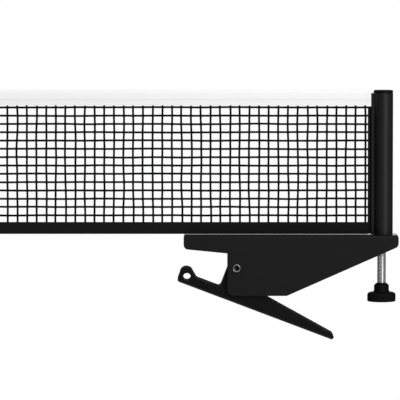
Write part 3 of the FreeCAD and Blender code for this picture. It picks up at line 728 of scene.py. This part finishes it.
@finish_of
def black_webbing(name):
    finish = Finish(name, colours().webbing, 0.8, specular=0.1)
    weave = finish.effect(plain_weave, Cloth=finish.cloth, Thread=0.0005, Depth=1.0)
    rib = finish.effect(cloth_ribs, Cloth=finish.cloth, Pitch=sizes().rib_pitch)
    finish.bump(weave["Height"], 0.00008)
    # Painted shade: the colour darkens in the valleys between the ribs and where the weave's threads dip
    # under.
    both = finish.nodes.maths("MULTIPLY", rib["Height"], 0.7)
    finish.shade(finish.nodes.maths("MULTIPLY_ADD", weave["Shade"], 0.3, both), 0.6)
    return finish


# Pieces


class NETCLAMP_OT_housing(bpy.types.Operator):
    """Builds the folded housing and its stop bar"""

    bl_idname = "netclamp.housing"
    bl_label = "Housing"

    def execute(self, context):
        softened("housing", "housing_shell", powder_coat(), sizes().steel_edge, 3)
        softened("stop_bar", "stop_rod", zinc_plate(), sizes().fine_edge)
        return {"FINISHED"}


def ribbed_pad(low, high, slope, pitch, depth):
    """A pad with ribs across its underside, carried from one side to the other.

    Its outline runs along the underside, which rises towards the jaw's tip, with grooves of a
    rounded wave, and back along the flat top. Near its two sides the outline shrinks by a little.
    """
    steps, squareness, edge, shrunk = 12, 1.6, 0.4 * MM, 0.985
    x = np.linspace(high[0], low[0], int((high[0] - low[0]) / pitch * steps))
    under = low[2] + slope * (high[0] - x)
    wave = np.cos(FULL_TURN * (x - high[0]) / pitch) * squareness
    groove = np.clip(wave, -1, 1) * 0.5 + 0.5
    thick = high[2] - low[2] - slope * (high[0] - low[0])
    bottom, top = line_of(x, under + depth * groove), line_of(x, under + thick)[::-1]
    outline = np.concatenate([bottom, top])
    middle = outline.mean(0)
    across = np.array([low[1], low[1] + edge, high[1] - edge, high[1]])
    shrink = np.array([shrunk, 1, 1, shrunk])[:, None, None]
    placed = middle + (outline - middle) * shrink
    return line_of(placed[..., 0], across[:, None], placed[..., 1]), across


class NETCLAMP_OT_jaw(bpy.types.Operator):
    """Builds the upper jaw's block and its ribbed grip pad"""

    bl_idname = "netclamp.jaw"
    bl_label = "Upper jaw"

    def execute(self, context):
        size = sizes()
        softened("jaw_block", "jaw_filler", moulded_plastic(), size.steel_edge)
        low, high = box_of("jaw_pad")
        mounts = {mount["name"]: mount["axis"] for mount in frame["record"]["mounts"]}
        slope = mounts["jaw_seat"][0] / mounts["jaw_seat"][2]
        points, across = ribbed_pad(low, high, slope, size.pad_rib, size.pad_groove)
        pad = Surface().skin(points, across, 2 * (high[0] - low[0]))
        pad.piece("jaw_grip", moulded_rubber(), HOUSING, "jaw_pad")
        return {"FINISHED"}


def rolled_end(head, proud, end, side):
    """Half of the rivet: a shank, and an end rolled outwards round a blind, tapered hole.

    The profile starts on the axis at the hole's floor, climbs its wall, passes over the rolled
    rim and ends on the shank at the rivet's middle. Its side, 1 or -1, is the sign of Y.
    """
    shank, bore, floor, flare = 3.0 * MM, 2.4 * MM, 4.4 * MM, 0.8 * MM
    corners = [
        (NEAR_AXIS / 2, end - floor),
        (bore, end - floor, 0.4 * MM),
        (bore, end - flare, 0.4 * MM),
        (head - flare, end, 0.3 * MM),
        (head, end, 0.4 * MM),
        (head, end - proud),
        (shank, end - proud),
        (shank, 0),
    ]
    return rounded_line(corners, steps=6) * (1, side)


class NETCLAMP_OT_pivot(bpy.types.Operator):
    """Builds the rivet through housing and lever, its washers and its bush"""

    bl_idname = "netclamp.pivot"
    bl_label = "Pivot"

    def execute(self, context):
        low, high = box_of("pivot_rivet")
        centre = ((low[0] + high[0]) / 2, (low[2] + high[2]) / 2)
        head = (high[0] - low[0]) / 2 - 0.2 * MM
        proud = high[1] - box_of("housing")[1][1]
        front, back = (rolled_end(head, proud, high[1], side) for side in (-1, 1))
        profile = np.concatenate([front[:-1], back[::-1][1:]])
        rivet = Surface().turned(profile, 72, centre, head, axis="Y")
        rivet.piece("rivet", rivet_nickel_shaded_hole(), HOUSING, "pivot_rivet")
        softened("pivot_washer_front", "washer_front", zinc_plate(), sizes().fine_edge)
        softened("pivot_washer_rear", "washer_rear", zinc_plate(), sizes().fine_edge)
        softened("pivot_bush", "spring_bush", zinc_plate(), sizes().fine_edge)
        return {"FINISHED"}


class NETCLAMP_OT_lever(bpy.types.Operator):
    """Builds the lever with the tube and the grip pad in its nose"""

    bl_idname = "netclamp.lever"
    bl_label = "Lever"

    def execute(self, context):
        size = sizes()
        softened("lever", "lever_channel", smooth_enamel(), size.steel_edge, 3)
        softened("nose_tube", "nose_lining", dull_enamel(), size.fine_edge)
        softened("nose_pad", "nose_grip", moulded_rubber(), size.steel_edge)
        return {"FINISHED"}


def spring_path(size):
    """The middle of the spring's wire: a straight leg, the coil, and the other straight leg.

    The coil goes round the pivot and moves evenly across. Each leg leaves it on a tangent that ends
    one wire radius from what it presses on, the housing's top sheet or the lever's base.
    """
    coil, turns, lift = 6.4 * MM, 4, size.wire / 2 + 0.08 * MM
    low, high = box_of("torsion_spring")
    side = (high[1] - low[1] - size.wire) / 2
    pivot = JOINTS["lever_pivot"]["pos_m"]
    lever_depth, plate = 31.2, 1.8
    base_slope, base_depth = math.radians(20.75), (lever_depth - plate) * MM - lift
    rise = box_of("jaw_block")[1][2] - pivot[2] - lift
    upper, lower = size.upper_leg, size.lower_leg
    upper_way = math.asin(rise / math.hypot(upper, coil)) - math.atan2(coil, upper)
    fall = math.asin(base_depth / math.hypot(lower, coil))
    lower_way = math.atan2(coil, lower) - base_slope - fall
    first = upper_way + math.pi / 2
    last = lower_way - math.pi / 2 + FULL_TURN * turns
    angle = np.linspace(first, last, 27 * turns)
    across = -side + 2 * side * (angle - first) / (last - first)
    place = line_of(pivot[0] + coil * np.cos(angle), across, pivot[2] + coil * np.sin(angle))

    def way(turn):
        """Direction of the coil at that angle, square to its radius."""
        return np.array([-math.sin(turn), 0, math.cos(turn)])

    out = np.linspace(1, 0.02, 14)[:, None]
    upper_line = place[0] - way(first) * upper * out
    lower_line = place[-1] + way(last) * lower * out[::-1]
    return np.concatenate([upper_line, place, lower_line]), side


class NETCLAMP_OT_spring(bpy.types.Operator):
    """Builds the torsion spring, which bends with the lever"""

    bl_idname = "netclamp.spring"
    bl_label = "Torsion spring"

    def execute(self, context):
        path, side = spring_path(sizes())
        radius = np.full(len(path), sizes().wire / 2)
        radius[[0, -1]] *= 0.82
        wire = Surface().skin(tube(path, radius, 20), distance_along(path), math.pi * sizes().wire)
        spring = wire.piece("spring", spring_wire())
        start, end = ((JOINTS["lever_pivot"]["pos_m"][0], y, 0) for y in (-side, side))
        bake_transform(spring, HOUSING, LEVER, start=start, end=end)
        stands_for(spring, "torsion_spring")
        return {"FINISHED"}


def threaded_rod(low, high, radius, pitch, centre, sides=40, steps=12):
    """A rod with a right-hand thread.

    The thread's phase at height z and angle a is z less one pitch a turn. The radius falls from a
    flat crest down straight flanks to the root, and both ends taper.
    """
    z = np.linspace(low, high, int((high - low) / pitch * steps))
    angle = np.arange(sides) * FULL_TURN / sides
    phase = (z[:, None] / pitch - angle / FULL_TURN) % 1
    crest, flank, depth = 1 / 8, 3 / 8, 0.14 * pitch
    fall = np.clip((0.5 - crest - np.abs(phase - 0.5)) / flank, 0, 1)
    to_end = np.minimum(z - low, high - z)[:, None]
    reach = np.minimum(radius - depth * fall, radius - depth * 1.4 + to_end)
    x, y = centre[0] + reach * np.cos(angle), centre[1] + reach * np.sin(angle)
    return line_of(x, y, z[:, None]), z


class NETCLAMP_OT_height_gear(bpy.types.Operator):
    """Builds the guide tube, the nut and the threaded height screw"""

    bl_idname = "netclamp.height_gear"
    bl_label = "Height gear"

    def execute(self, context):
        size = sizes()
        softened("guide_tube", "guide_sleeve", zinc_plate(), size.steel_edge)
        softened("height_nut", "hex_nut", zinc_plate(), size.steel_edge)
        low, high = box_of("height_screw")
        centre, radius = (low[:2] + high[:2]) / 2, (high[0] - low[0]) / 2
        points, z = threaded_rod(low[2], high[2], radius, size.thread_pitch, centre)
        screw = Surface().skin(points, z, FULL_TURN * radius)
        screw.piece("screw", screw_zinc(), KNOB, "height_screw", angle=40)
        return {"FINISHED"}


class NETCLAMP_OT_knob(bpy.types.Operator):
    """Builds the knob, a turned profile of a hub over a fluted flange with a dished underside"""

    bl_idname = "netclamp.knob"
    bl_label = "Knob"

    def execute(self, context):
        size = sizes()
        low, high = box_of("height_knob")
        rim, centre = (high[0] - low[0]) / 2, (low[:2] + high[:2]) / 2
        top, base = high[2], low[2]
        hub, mouth, bore, bore_floor = 6.9 * MM, 5.0 * MM, 4.05 * MM, top - 3 * MM
        dish, dish_edge, dish_top = 8.6 * MM, 9.6 * MM, base + 1.6 * MM
        corners = [
            (NEAR_AXIS, dish_top),
            (dish, dish_top, 0.5 * MM),
            (dish_edge, base, 0.4 * MM),
            (rim, base, 1.1 * MM),
            (rim, top - 8.7 * MM, 2.8 * MM),
            (hub, top - 7.7 * MM, 1.9 * MM),
            (hub, top - 1.9 * MM, 0.6 * MM),
            (mouth, top, 0.35 * MM),
            (bore, top),
            (bore, bore_floor),
            (NEAR_AXIS, bore_floor),
        ]
        profile = rounded_line(corners, steps=6)

        def fluted(rows, angle):
            """Rounded ribs between sharp valleys, only where the flange is nearly full width."""
            inner, fade, foot = rim - 2.2 * MM, 1.6 * MM, base + 0.15 * MM
            wide = np.clip((rows[:, :1] - inner) / fade, 0, 1)
            inside = rows[:, 1:] > foot
            valley = (0.5 - 0.5 * np.cos(size.flutes * angle)) ** 2
            return 1 - wide * inside * valley * size.flute_depth / rim

        # Even steps between the profile's own points, so that the flutes have points to bend.
        steps, order = distance_along(profile), np.arange(len(profile), dtype=float)
        even = np.interp(np.linspace(0, steps[-1], 110), steps, order)
        whole = np.unique(np.concatenate([even, order]))
        dense = line_of(*(np.interp(whole, order, profile[:, i]) for i in (0, 1)))
        knob = Surface().turned(dense, size.flutes * 10, centre, rim, flat=fluted)
        knob.piece("knob", moulded_plastic(), KNOB, "height_knob")
        return {"FINISHED"}


class NETCLAMP_OT_post(bpy.types.Operator):
    """Builds the extruded post, its cap and the plug that stands on the screw"""

    bl_idname = "netclamp.post"
    bl_label = "Post"

    def execute(self, context):
        size = sizes()
        softened("post_tube", "post_extrusion", post_coat(), size.fine_edge, 3)
        softened("thrust_plug", "thrust_insert", moulded_plastic(), size.steel_edge)
        low, high = box_of("post_cap")
        radius, centre = (high[0] - low[0]) / 2, (low[:2] + high[:2]) / 2
        seat, shadow_gap, neck = box_of("post_tube")[1][2], 0.35 * MM, radius - 0.5 * MM
        crown = high[2] - 0.1 * MM
        corners = [
            (NEAR_AXIS, seat),
            (neck, seat),
            (neck, seat + shadow_gap),
            (radius, seat + shadow_gap, 0.15 * MM),
            (radius, crown, 1.3 * MM),
            (radius - 2.4 * MM, crown, 1.0 * MM),
            (NEAR_AXIS, high[2]),
        ]
        bore = box_of("guide_tube")
        insert_at, insert = ((bore[0][0] + bore[1][0]) / 2, centre[1]), 5.05 * MM
        insert_corners = [
            (NEAR_AXIS, low[2]),
            (insert, low[2], 0.6 * MM),
            (insert, seat),
            (NEAR_AXIS, seat),
        ]
        cap = Surface().turned(rounded_line(corners), 96, centre, radius)
        cap.turned(rounded_line(insert_corners), 96, insert_at, insert)
        cap.piece("cap", moulded_plastic(), POST, "post_cap", angle=35)
        return {"FINISHED"}


def ribs(run, pitch, height):
    """The height of rounded ribs along a run."""
    return height * np.abs(np.sin(math.pi * run / pitch)) ** 0.8


class NETCLAMP_OT_side_edge(bpy.types.Operator):
    """Builds the net's side binding, an outline drawn upwards, and the welt that holds it"""

    bl_idname = "netclamp.side_edge"
    bl_label = "Side edge"

    def execute(self, context):
        pitch = sizes().rib_pitch
        low, high = box_of("side_binding")
        edge, slot_start = low[0] - 0.3 * MM, box_of("post_tube")[0][0]
        full, thin = 0.85 * MM, (high[1] - low[1]) / 2
        corners = [
            (edge, 0),
            (edge, full, 0.5 * MM),
            (slot_start - 0.6 * MM, full, 0.5 * MM),
            (slot_start - 0.1 * MM, thin, 0.2 * MM),
            (high[0], thin),
            (high[0], 0),
        ]
        front = rounded_line(corners)
        outline = np.concatenate([front, (front * (1, -1))[::-1][1:-1]])
        z = np.linspace(low[2], high[2], int((high[2] - low[2]) / pitch * 6))
        swell = 1 + ribs(z, pitch, 0.12)[:, None] * (outline[:, 0] < slot_start)
        points = line_of(outline[:, 0], outline[:, 1] * swell, z[:, None])
        binding = Surface().skin(points, z, 2 * (high[0] - low[0]))
        binding.piece("binding", black_webbing(), POST, "side_binding")
        low, high = box_of("side_welt")
        middle, radius = (low + high) / 2, (high[0] - low[0]) / 2
        path = line_of(middle[0], middle[1], np.linspace(low[2], high[2], 60))
        welt = Surface().skin(tube(path, radius, 16), path[:, 2], FULL_TURN * radius)
        welt.piece("welt", moulded_plastic(), POST, "side_welt")
        return {"FINISHED"}


def drift(rng, shape, spread):
    """Random offsets that change slowly along the last axis, with the given typical size."""
    rough = rng.normal(size=(*shape[:-1], shape[-1] + 4))
    weights = np.array([0.25, 0.7, 1.0, 0.7, 0.25])
    soft = sum(w * rough[..., i : i + shape[-1]] for i, w in enumerate(weights))
    return spread * soft / math.sqrt((weights**2).sum())


def net_lines(size):
    """Knots of the upright and of the level cords, which share their crossings.

    Each crossing strays a little from its even place, more slowly along a cord than from one cord to
    the next. Uprights end inside the two tapes, level cords inside the hem and the side binding.
    """
    rng = np.random.default_rng(11)
    low, high = box_of("net_mesh")
    tape_edge, band_edge = box_of("top_tape")[0][2], box_of("bottom_tape")[1][2]
    x = np.arange(high[0] - size.first_column, low[0] + 6 * MM, -size.column_pitch)
    z = np.arange(tape_edge - size.first_row, band_edge + 1 * MM, -size.row_pitch)
    stray_x = drift(rng, (len(x), len(z)), size.sideways)
    stray_z = drift(rng, (len(z), len(x)), size.up_down)
    stray_x[0] *= 0.5
    stray_x[0, 0] -= 0.5 * MM
    cross_x, cross_z = x[:, None] + stray_x, z[:, None] + stray_z

    def ends(cords, start, end):
        """The two ends' columns of knots, each at one place."""
        return (np.full((len(cords), 1), value) for value in (start, end))

    top, foot = ends(x, tape_edge + 1.2 * MM, band_edge - 2 * MM)
    up_x = np.concatenate([cross_x[:, :1], cross_x, cross_x[:, -1:]], 1)
    uprights = line_of(up_x, 0.0, np.concatenate([top, cross_z.T, foot], 1))
    right, left = ends(z, high[0] + 1.2 * MM, low[0] + 1 * MM)
    level_z = np.concatenate([cross_z[:, :1], cross_z, cross_z[:, -1:]], 1)
    levels = line_of(np.concatenate([right, cross_x.T, left], 1), 0.0, level_z)
    return uprights, levels


def pebbles(centres, reach, rows=7, columns=8):
    """Rounded lumps at the centres with half-lengths reach, as (lumps, rows, columns, 3)."""
    tilt = np.linspace(-0.49 * math.pi, 0.49 * math.pi, rows)[:, None]
    turn = np.arange(columns) * FULL_TURN / columns
    lump = line_of(np.sin(tilt), np.cos(tilt) * np.cos(turn), np.cos(tilt) * np.sin(turn))
    return centres[:, None, None, :] + lump * reach


class NETCLAMP_OT_net(bpy.types.Operator):
    """Builds the net's cords, with a knot at each crossing"""

    bl_idname = "netclamp.net"
    bl_label = "Net"

    def execute(self, context):
        size = sizes()
        uprights, levels = net_lines(size)
        net = Surface()
        for knots, steps, pitch in ((uprights, 12, size.row_pitch), (levels, 8, size.column_pitch)):
            path = smooth_line(knots, steps)
            phase = np.arange(path.shape[-2]) / steps
            slack, knot, knot_reach, loop, loops = 0.97, 0.16, 0.9 * MM, 0.05, 4
            at_knot = np.exp(-(((phase - np.round(phase)) * pitch / knot_reach) ** 2))
            ripple = loop * np.cos(FULL_TURN * phase * loops)
            radius = size.cord / 2 * (slack + knot * at_knot + ripple)
            net.skin(tube(path, radius, 8), phase * pitch, math.pi * size.cord)
        tape_edge, length = box_of("top_tape")[0][2], 2 * MM
        tops = uprights[:, 1, 0]
        rise = np.random.default_rng(4).uniform(-0.4, 0.1, len(tops)) * MM
        for side in (-1, 1):
            centres = line_of(tops, side * 1.0 * MM, tape_edge + rise)
            lumps = pebbles(centres, np.array([0.85, 0.45, 0.6]) * MM)
            net.skin(lumps, np.linspace(0, length, lumps.shape[1]), length)
        piece = net.piece("net", knitted_twine(), POST, "net_mesh")
        low, high = box_of("net_mesh")
        width, length, covered = high[0] - low[0], high[2] - low[2], 0.5
        return {"FINISHED"}


def folded_strip(x, shape, cloth, swell):
    """A strip of cloth folded along its length, open at one edge.

    shape is the outside of one half, from the open edge to the fold, as (out, up) pairs. The other
    half mirrors it, and the inside lies one cloth thickness in. swell, by rows, thickens the strip.
    """
    outer = np.concatenate([shape, (shape * (-1, 1))[::-1][1:]])
    way = np.gradient(outer, axis=0)
    normal = np.stack([way[:, 1], -way[:, 0]], -1)
    normal /= np.linalg.norm(normal, axis=1, keepdims=True)
    towards = np.sign(shape[-1, 1] - shape[0, 1])
    outward = normal if towards * normal[0, 0] * shape[0, 0] > 0 else -normal
    inner = outer - outward * cloth
    limit, half, side = 0.04 * MM, len(shape), np.sign(shape[0, 0])
    inner[:half, 0] = side * np.maximum(side * inner[:half, 0], limit)
    inner[half - 1 :, 0] = -side * np.maximum(-side * inner[half - 1 :, 0], limit)
    inner[half - 1, 0] = 0
    thick = np.broadcast_to(np.asarray(swell, float), (len(x), 1))
    first = outer + outward * thick[:, :, None]
    section = np.concatenate([first, np.broadcast_to(inner[::-1], first.shape)], 1)
    rows = np.broadcast_to(x[:, None, None], (*section.shape[:2], 1))
    return np.concatenate([rows, section], -1)


def tape_piece(name, node, run, shape, material, swell=0.0, upright=False):
    """A folded tape along X, or along Z if upright, and the width of its cloth when unfolded."""
    points = folded_strip(run, shape, sizes().cloth, swell)
    if upright:
        points = points[..., ::-1]
    ring = distance_along(np.concatenate([points[0], points[0][:1]]))
    piece = Surface().skin(points, run, ring).piece(name, material, POST, node)
    return piece, 2 * distance_along(shape)[-1]


def ribbed_tape(name, node, axis, corners, relief):
    """A folded black tape with ribs across it, along X (axis 0) or Z (axis 2)."""
    low, high = (corner[axis] for corner in box_of(node))
    pitch, steps = sizes().rib_pitch, 5
    run = np.linspace(low, high, int((high - low) / pitch * steps))
    shape, swell = rounded_line(corners), ribs(run, pitch, relief)[:, None]
    tape, width = tape_piece(name, node, run, shape, black_webbing(), swell, upright=axis == 2)


class NETCLAMP_OT_top_tape(bpy.types.Operator):
    """Builds the folded white tape, its seam and the cord inside it"""

    bl_idname = "netclamp.top_tape"
    bl_label = "Top tape"

    def execute(self, context):
        size = sizes()
        low, high = box_of("top_tape")
        full, seam_out, seam = high[1], 0.84 * MM, low[2] + size.seam
        knots = [
            (-1.22 * MM, low[2]),
            (-1.16 * MM, low[2] + 1.6 * MM),
            (-1.12 * MM, low[2] + 3.6 * MM),
            (-1.1 * MM, seam - 0.6 * MM),
            (-seam_out, seam),
            (-1.12 * MM, seam + 0.6 * MM),
            (-1.36 * MM, seam + 2.6 * MM),
            (-full, high[2] - 3.2 * MM),
            (-full * 0.93, high[2] - 1.3 * MM),
            (-full * 0.55, high[2] - 0.35 * MM),
            (0, high[2] - 0.02 * MM),
        ]
        run = np.linspace(low[0], high[0], 180)
        shape = smooth_line(np.array(knots), 4)
        tape, width = tape_piece("tape", "top_tape", run, shape, coated_tape())
        x = np.arange(low[0] + size.stitch_pitch / 2, high[0], size.stitch_pitch)
        centres = np.concatenate([line_of(x, side * seam_out, seam) for side in (-1, 1)])
        stitch = np.array([0.38 * size.stitch_pitch, 0.16 * MM, 0.19 * MM])
        lumps = pebbles(centres, stitch, rows=9)
        rng = np.random.default_rng(2)
        lumps += rng.normal(scale=0.03 * MM, size=(len(lumps), 1, 1, 3))
        sewing = Surface().skin(lumps, np.linspace(0, 2 * MM, lumps.shape[1]), MM)
        sewing = sewing.piece("tape_stitches", white_thread(), POST)
        low, high = box_of("top_cord")
        middle, radius, inset = (low + high) / 2, (high[2] - low[2]) / 2, 0.2 * MM
        run = np.linspace(low[0] + inset, high[0] - inset, 700)
        path = line_of(run, middle[1], middle[2])
        strands = tube(path, radius * 0.95, 12, lobes=3, lobe=0.06, lay=5 * MM)
        cord = Surface().skin(strands, run, FULL_TURN * radius)
        cord.piece("tape_cord", white_thread(), POST, "top_cord")
        return {"FINISHED"}


class NETCLAMP_OT_bottom_tape(bpy.types.Operator):
    """Builds the ribbed black tape along the net's foot"""

    bl_idname = "netclamp.bottom_tape"
    bl_label = "Bottom tape"

    def execute(self, context):
        low, high = box_of("bottom_tape")
        full, fold = high[1], low[2] + 0.05 * MM
        corners = [
            (-1.15 * MM, high[2]),
            (-1.2 * MM, high[2] - 1.5 * MM, 3 * MM),
            (-full * 0.86, low[2] + 2.4 * MM, 4 * MM),
            (-full * 0.8, fold, 0.9 * MM),
            (0, fold),
        ]
        ribbed_tape("band", "bottom_tape", 0, corners, 0.14 * MM)
        return {"FINISHED"}


class NETCLAMP_OT_end_hem(bpy.types.Operator):
    """Builds the hem that closes the net's far end"""

    bl_idname = "netclamp.end_hem"
    bl_label = "End hem"

    def execute(self, context):
        low, high = box_of("end_hem")
        full, fold = high[1], low[0] + 0.05 * MM
        corners = [
            (-full * 0.9, high[0]),
            (-full * 0.9, high[0] - 2 * MM, 3 * MM),
            (-full, low[0] + 2 * MM, 3 * MM),
            (-full * 0.8, fold, 0.7 * MM),
            (0, fold),
        ]
        ribbed_tape("hem", "end_hem", 2, corners, 0.12 * MM)
        return {"FINISHED"}


# Stage


def pale_floor():
    """A pale floor that looks white in the picture and keeps its shadows, and is open from below."""
    material = bpy.data.materials.new("pale_floor")
    material.use_nodes = True
    material.node_tree.nodes.clear()
    nodes = Nodes(material.node_tree)
    pale, white, glow_level = (0.8, 0.8, 0.8, 1), (1, 1, 1, 1), 0.6
    matt = nodes.add("ShaderNodeBsdfDiffuse", {"Color": pale})
    glow = nodes.add("ShaderNodeEmission", {"Color": white, "Strength": glow_level})
    bright = nodes.add("ShaderNodeAddShader", {0: matt.outputs[0], 1: glow.outputs[0]})
    rays = nodes.add("ShaderNodeLightPath").outputs
    direct = nodes.maths("MAXIMUM", rays["Is Camera Ray"], rays["Is Glossy Ray"])
    seen = nodes.maths("MAXIMUM", direct, rays["Is Transmission Ray"])
    shown = nodes.add("ShaderNodeMixShader", {0: seen, 1: matt.outputs[0], 2: bright.outputs[0]})
    clear = nodes.add("ShaderNodeBsdfTransparent")
    under = nodes.add("ShaderNodeNewGeometry").outputs["Backfacing"]
    whole = nodes.add("ShaderNodeMixShader", {0: under, 1: shown.outputs[0], 2: clear.outputs[0]})
    nodes.add("ShaderNodeOutputMaterial", {"Surface": whole.outputs[0]})
    return material


def studio_world(level):
    """Even light all round. What is seen or shines through is white, and gloss meets the white
    backdrop behind the clamp and a dark room before it."""
    world = bpy.data.worlds.new("studio")
    bpy.context.scene.world = world
    world.use_nodes = True
    world.node_tree.nodes.clear()
    nodes = Nodes(world.node_tree)
    rays = nodes.add("ShaderNodeLightPath").outputs
    depth = nodes.parts(nodes.add("ShaderNodeTexCoord").outputs["Generated"])[1]
    room = nodes.ramp(depth, 0.0, 0.8, 0.02, 0.05, interpolation_type="SMOOTHSTEP")
    backdrop = nodes.ramp(depth, 0.9, 0.99, 0.0, 0.95, interpolation_type="SMOOTHSTEP")
    seen = nodes.maths("MAXIMUM", rays["Is Camera Ray"], rays["Is Transmission Ray"])
    gloss = rays["Is Glossy Ray"]
    soft = nodes.maths("MULTIPLY", level, nodes.maths("SUBTRACT", 1.0, gloss))
    lit = nodes.maths("MULTIPLY_ADD", gloss, nodes.maths("ADD", room, backdrop), soft)
    strength = nodes.maths("MAXIMUM", seen, lit)
    light = nodes.add("ShaderNodeBackground", {"Color": (1, 1, 1, 1), "Strength": strength})
    nodes.add("ShaderNodeOutputWorld", {"Surface": light.outputs[0]})


def soft_light(name, azimuth, elevation, width, height, power):
    """A rectangular light that faces the clamp. Azimuth 0 is the camera's side, 90 the post's."""
    light = bpy.data.lights.new(name, "AREA")
    light.shape = "RECTANGLE"
    light.size, light.size_y, light.energy = width, height, power
    lamp = bpy.data.objects.new(name, light)
    bpy.context.scene.collection.objects.link(lamp)
    turn, lift = math.radians(azimuth), math.radians(elevation)
    way = Vector((math.sin(turn) * math.cos(lift), -math.cos(turn) * math.cos(lift), math.sin(lift)))
    lamp.location = Vector((0.05, 0, 0.05)) + way * LIGHT_DISTANCE
    lamp.rotation_euler = way.to_track_quat("Z", "Y").to_euler()


class NETCLAMP_OT_stage(bpy.types.Operator):
    """Builds the floor, the lights and the camera"""

    bl_idname = "netclamp.stage"
    bl_label = "Stage"

    def execute(self, context):
        scene, view = context.scene, context.scene.clamp_view
        reach, level = 1.5, -view.floor_drop
        mesh = bpy.data.meshes.new("floor")
        corners = [(-reach, -reach), (reach, -reach), (reach, reach), (-reach, reach)]
        mesh.from_pydata([(x, y, level) for x, y in corners], [], [(0, 1, 2, 3)])
        add_object("floor", mesh, pale_floor())

        studio_world(view.room_light)
        for name, azimuth, elevation, width, height, share in (
            ("key", 30, 22, 1.05, 1.8, 1.0),
            ("fill", -35, 8, 1.05, 2.4, 0.05),
            ("side", 92, 8, 0.6, 2.1, 0.07),
            ("top", 0, 78, 2.1, 0.75, 0.28),
        ):
            soft_light(name, azimuth, elevation, width, height, share * view.key_light)

        camera = bpy.data.objects.new("camera", bpy.data.cameras.new("camera"))
        scene.collection.objects.link(camera)
        camera.data.lens = view.lens
        distance = view.across * view.lens / camera.data.sensor_width
        back = Vector((0, -math.cos(view.elevation), math.sin(view.elevation)))
        camera.location = Vector((view.centre_x, 0, view.centre_z)) + back * distance
        camera.rotation_euler = back.to_track_quat("Z", "Y").to_euler()
        camera.data.clip_start, camera.data.clip_end = 0.1, 60
        scene.camera = camera
        scene.view_settings.view_transform = "Standard"
        return {"FINISHED"}


PIECES = (
    NETCLAMP_OT_housing,
    NETCLAMP_OT_jaw,
    NETCLAMP_OT_pivot,
    NETCLAMP_OT_lever,
    NETCLAMP_OT_spring,
    NETCLAMP_OT_height_gear,
    NETCLAMP_OT_knob,
    NETCLAMP_OT_post,
    NETCLAMP_OT_side_edge,
    NETCLAMP_OT_net,
    NETCLAMP_OT_top_tape,
    NETCLAMP_OT_bottom_tape,
    NETCLAMP_OT_end_hem,
    NETCLAMP_OT_stage,
)


class NETCLAMP_PT_panel(bpy.types.Panel):
    """Lists the clamp's pieces and their sizes and colours"""

    bl_idname = "NETCLAMP_PT_panel"
    bl_label = "Net clamp"
    bl_space_type = "VIEW_3D"
    bl_region_type = "UI"
    bl_category = "Net clamp"

    def draw(self, context):
        for piece in PIECES:
            self.layout.operator(piece.bl_idname)
        for group, kind in GROUPS.items():
            section = self.layout.box()
            for name in kind.__annotations__:
                section.prop(getattr(context.scene, group), name)


GROUPS = {"clamp_sizes": ClampSizes, "clamp_colours": ClampColours, "clamp_view": ClampView}
CLASSES = (*GROUPS.values(), *PIECES, NETCLAMP_PT_panel)


def register():
    for cls in CLASSES:
        bpy.utils.register_class(cls)
    for name, group in GROUPS.items():
        setattr(bpy.types.Scene, name, PointerProperty(type=group))


def unregister():
    for name in GROUPS:
        delattr(bpy.types.Scene, name)
    for cls in reversed(CLASSES):
        bpy.utils.unregister_class(cls)


def main():
    register()
    for piece in PIECES:
        getattr(bpy.ops.netclamp, piece.bl_idname.split(".")[1])()


if __name__ == "__main__":
    main()
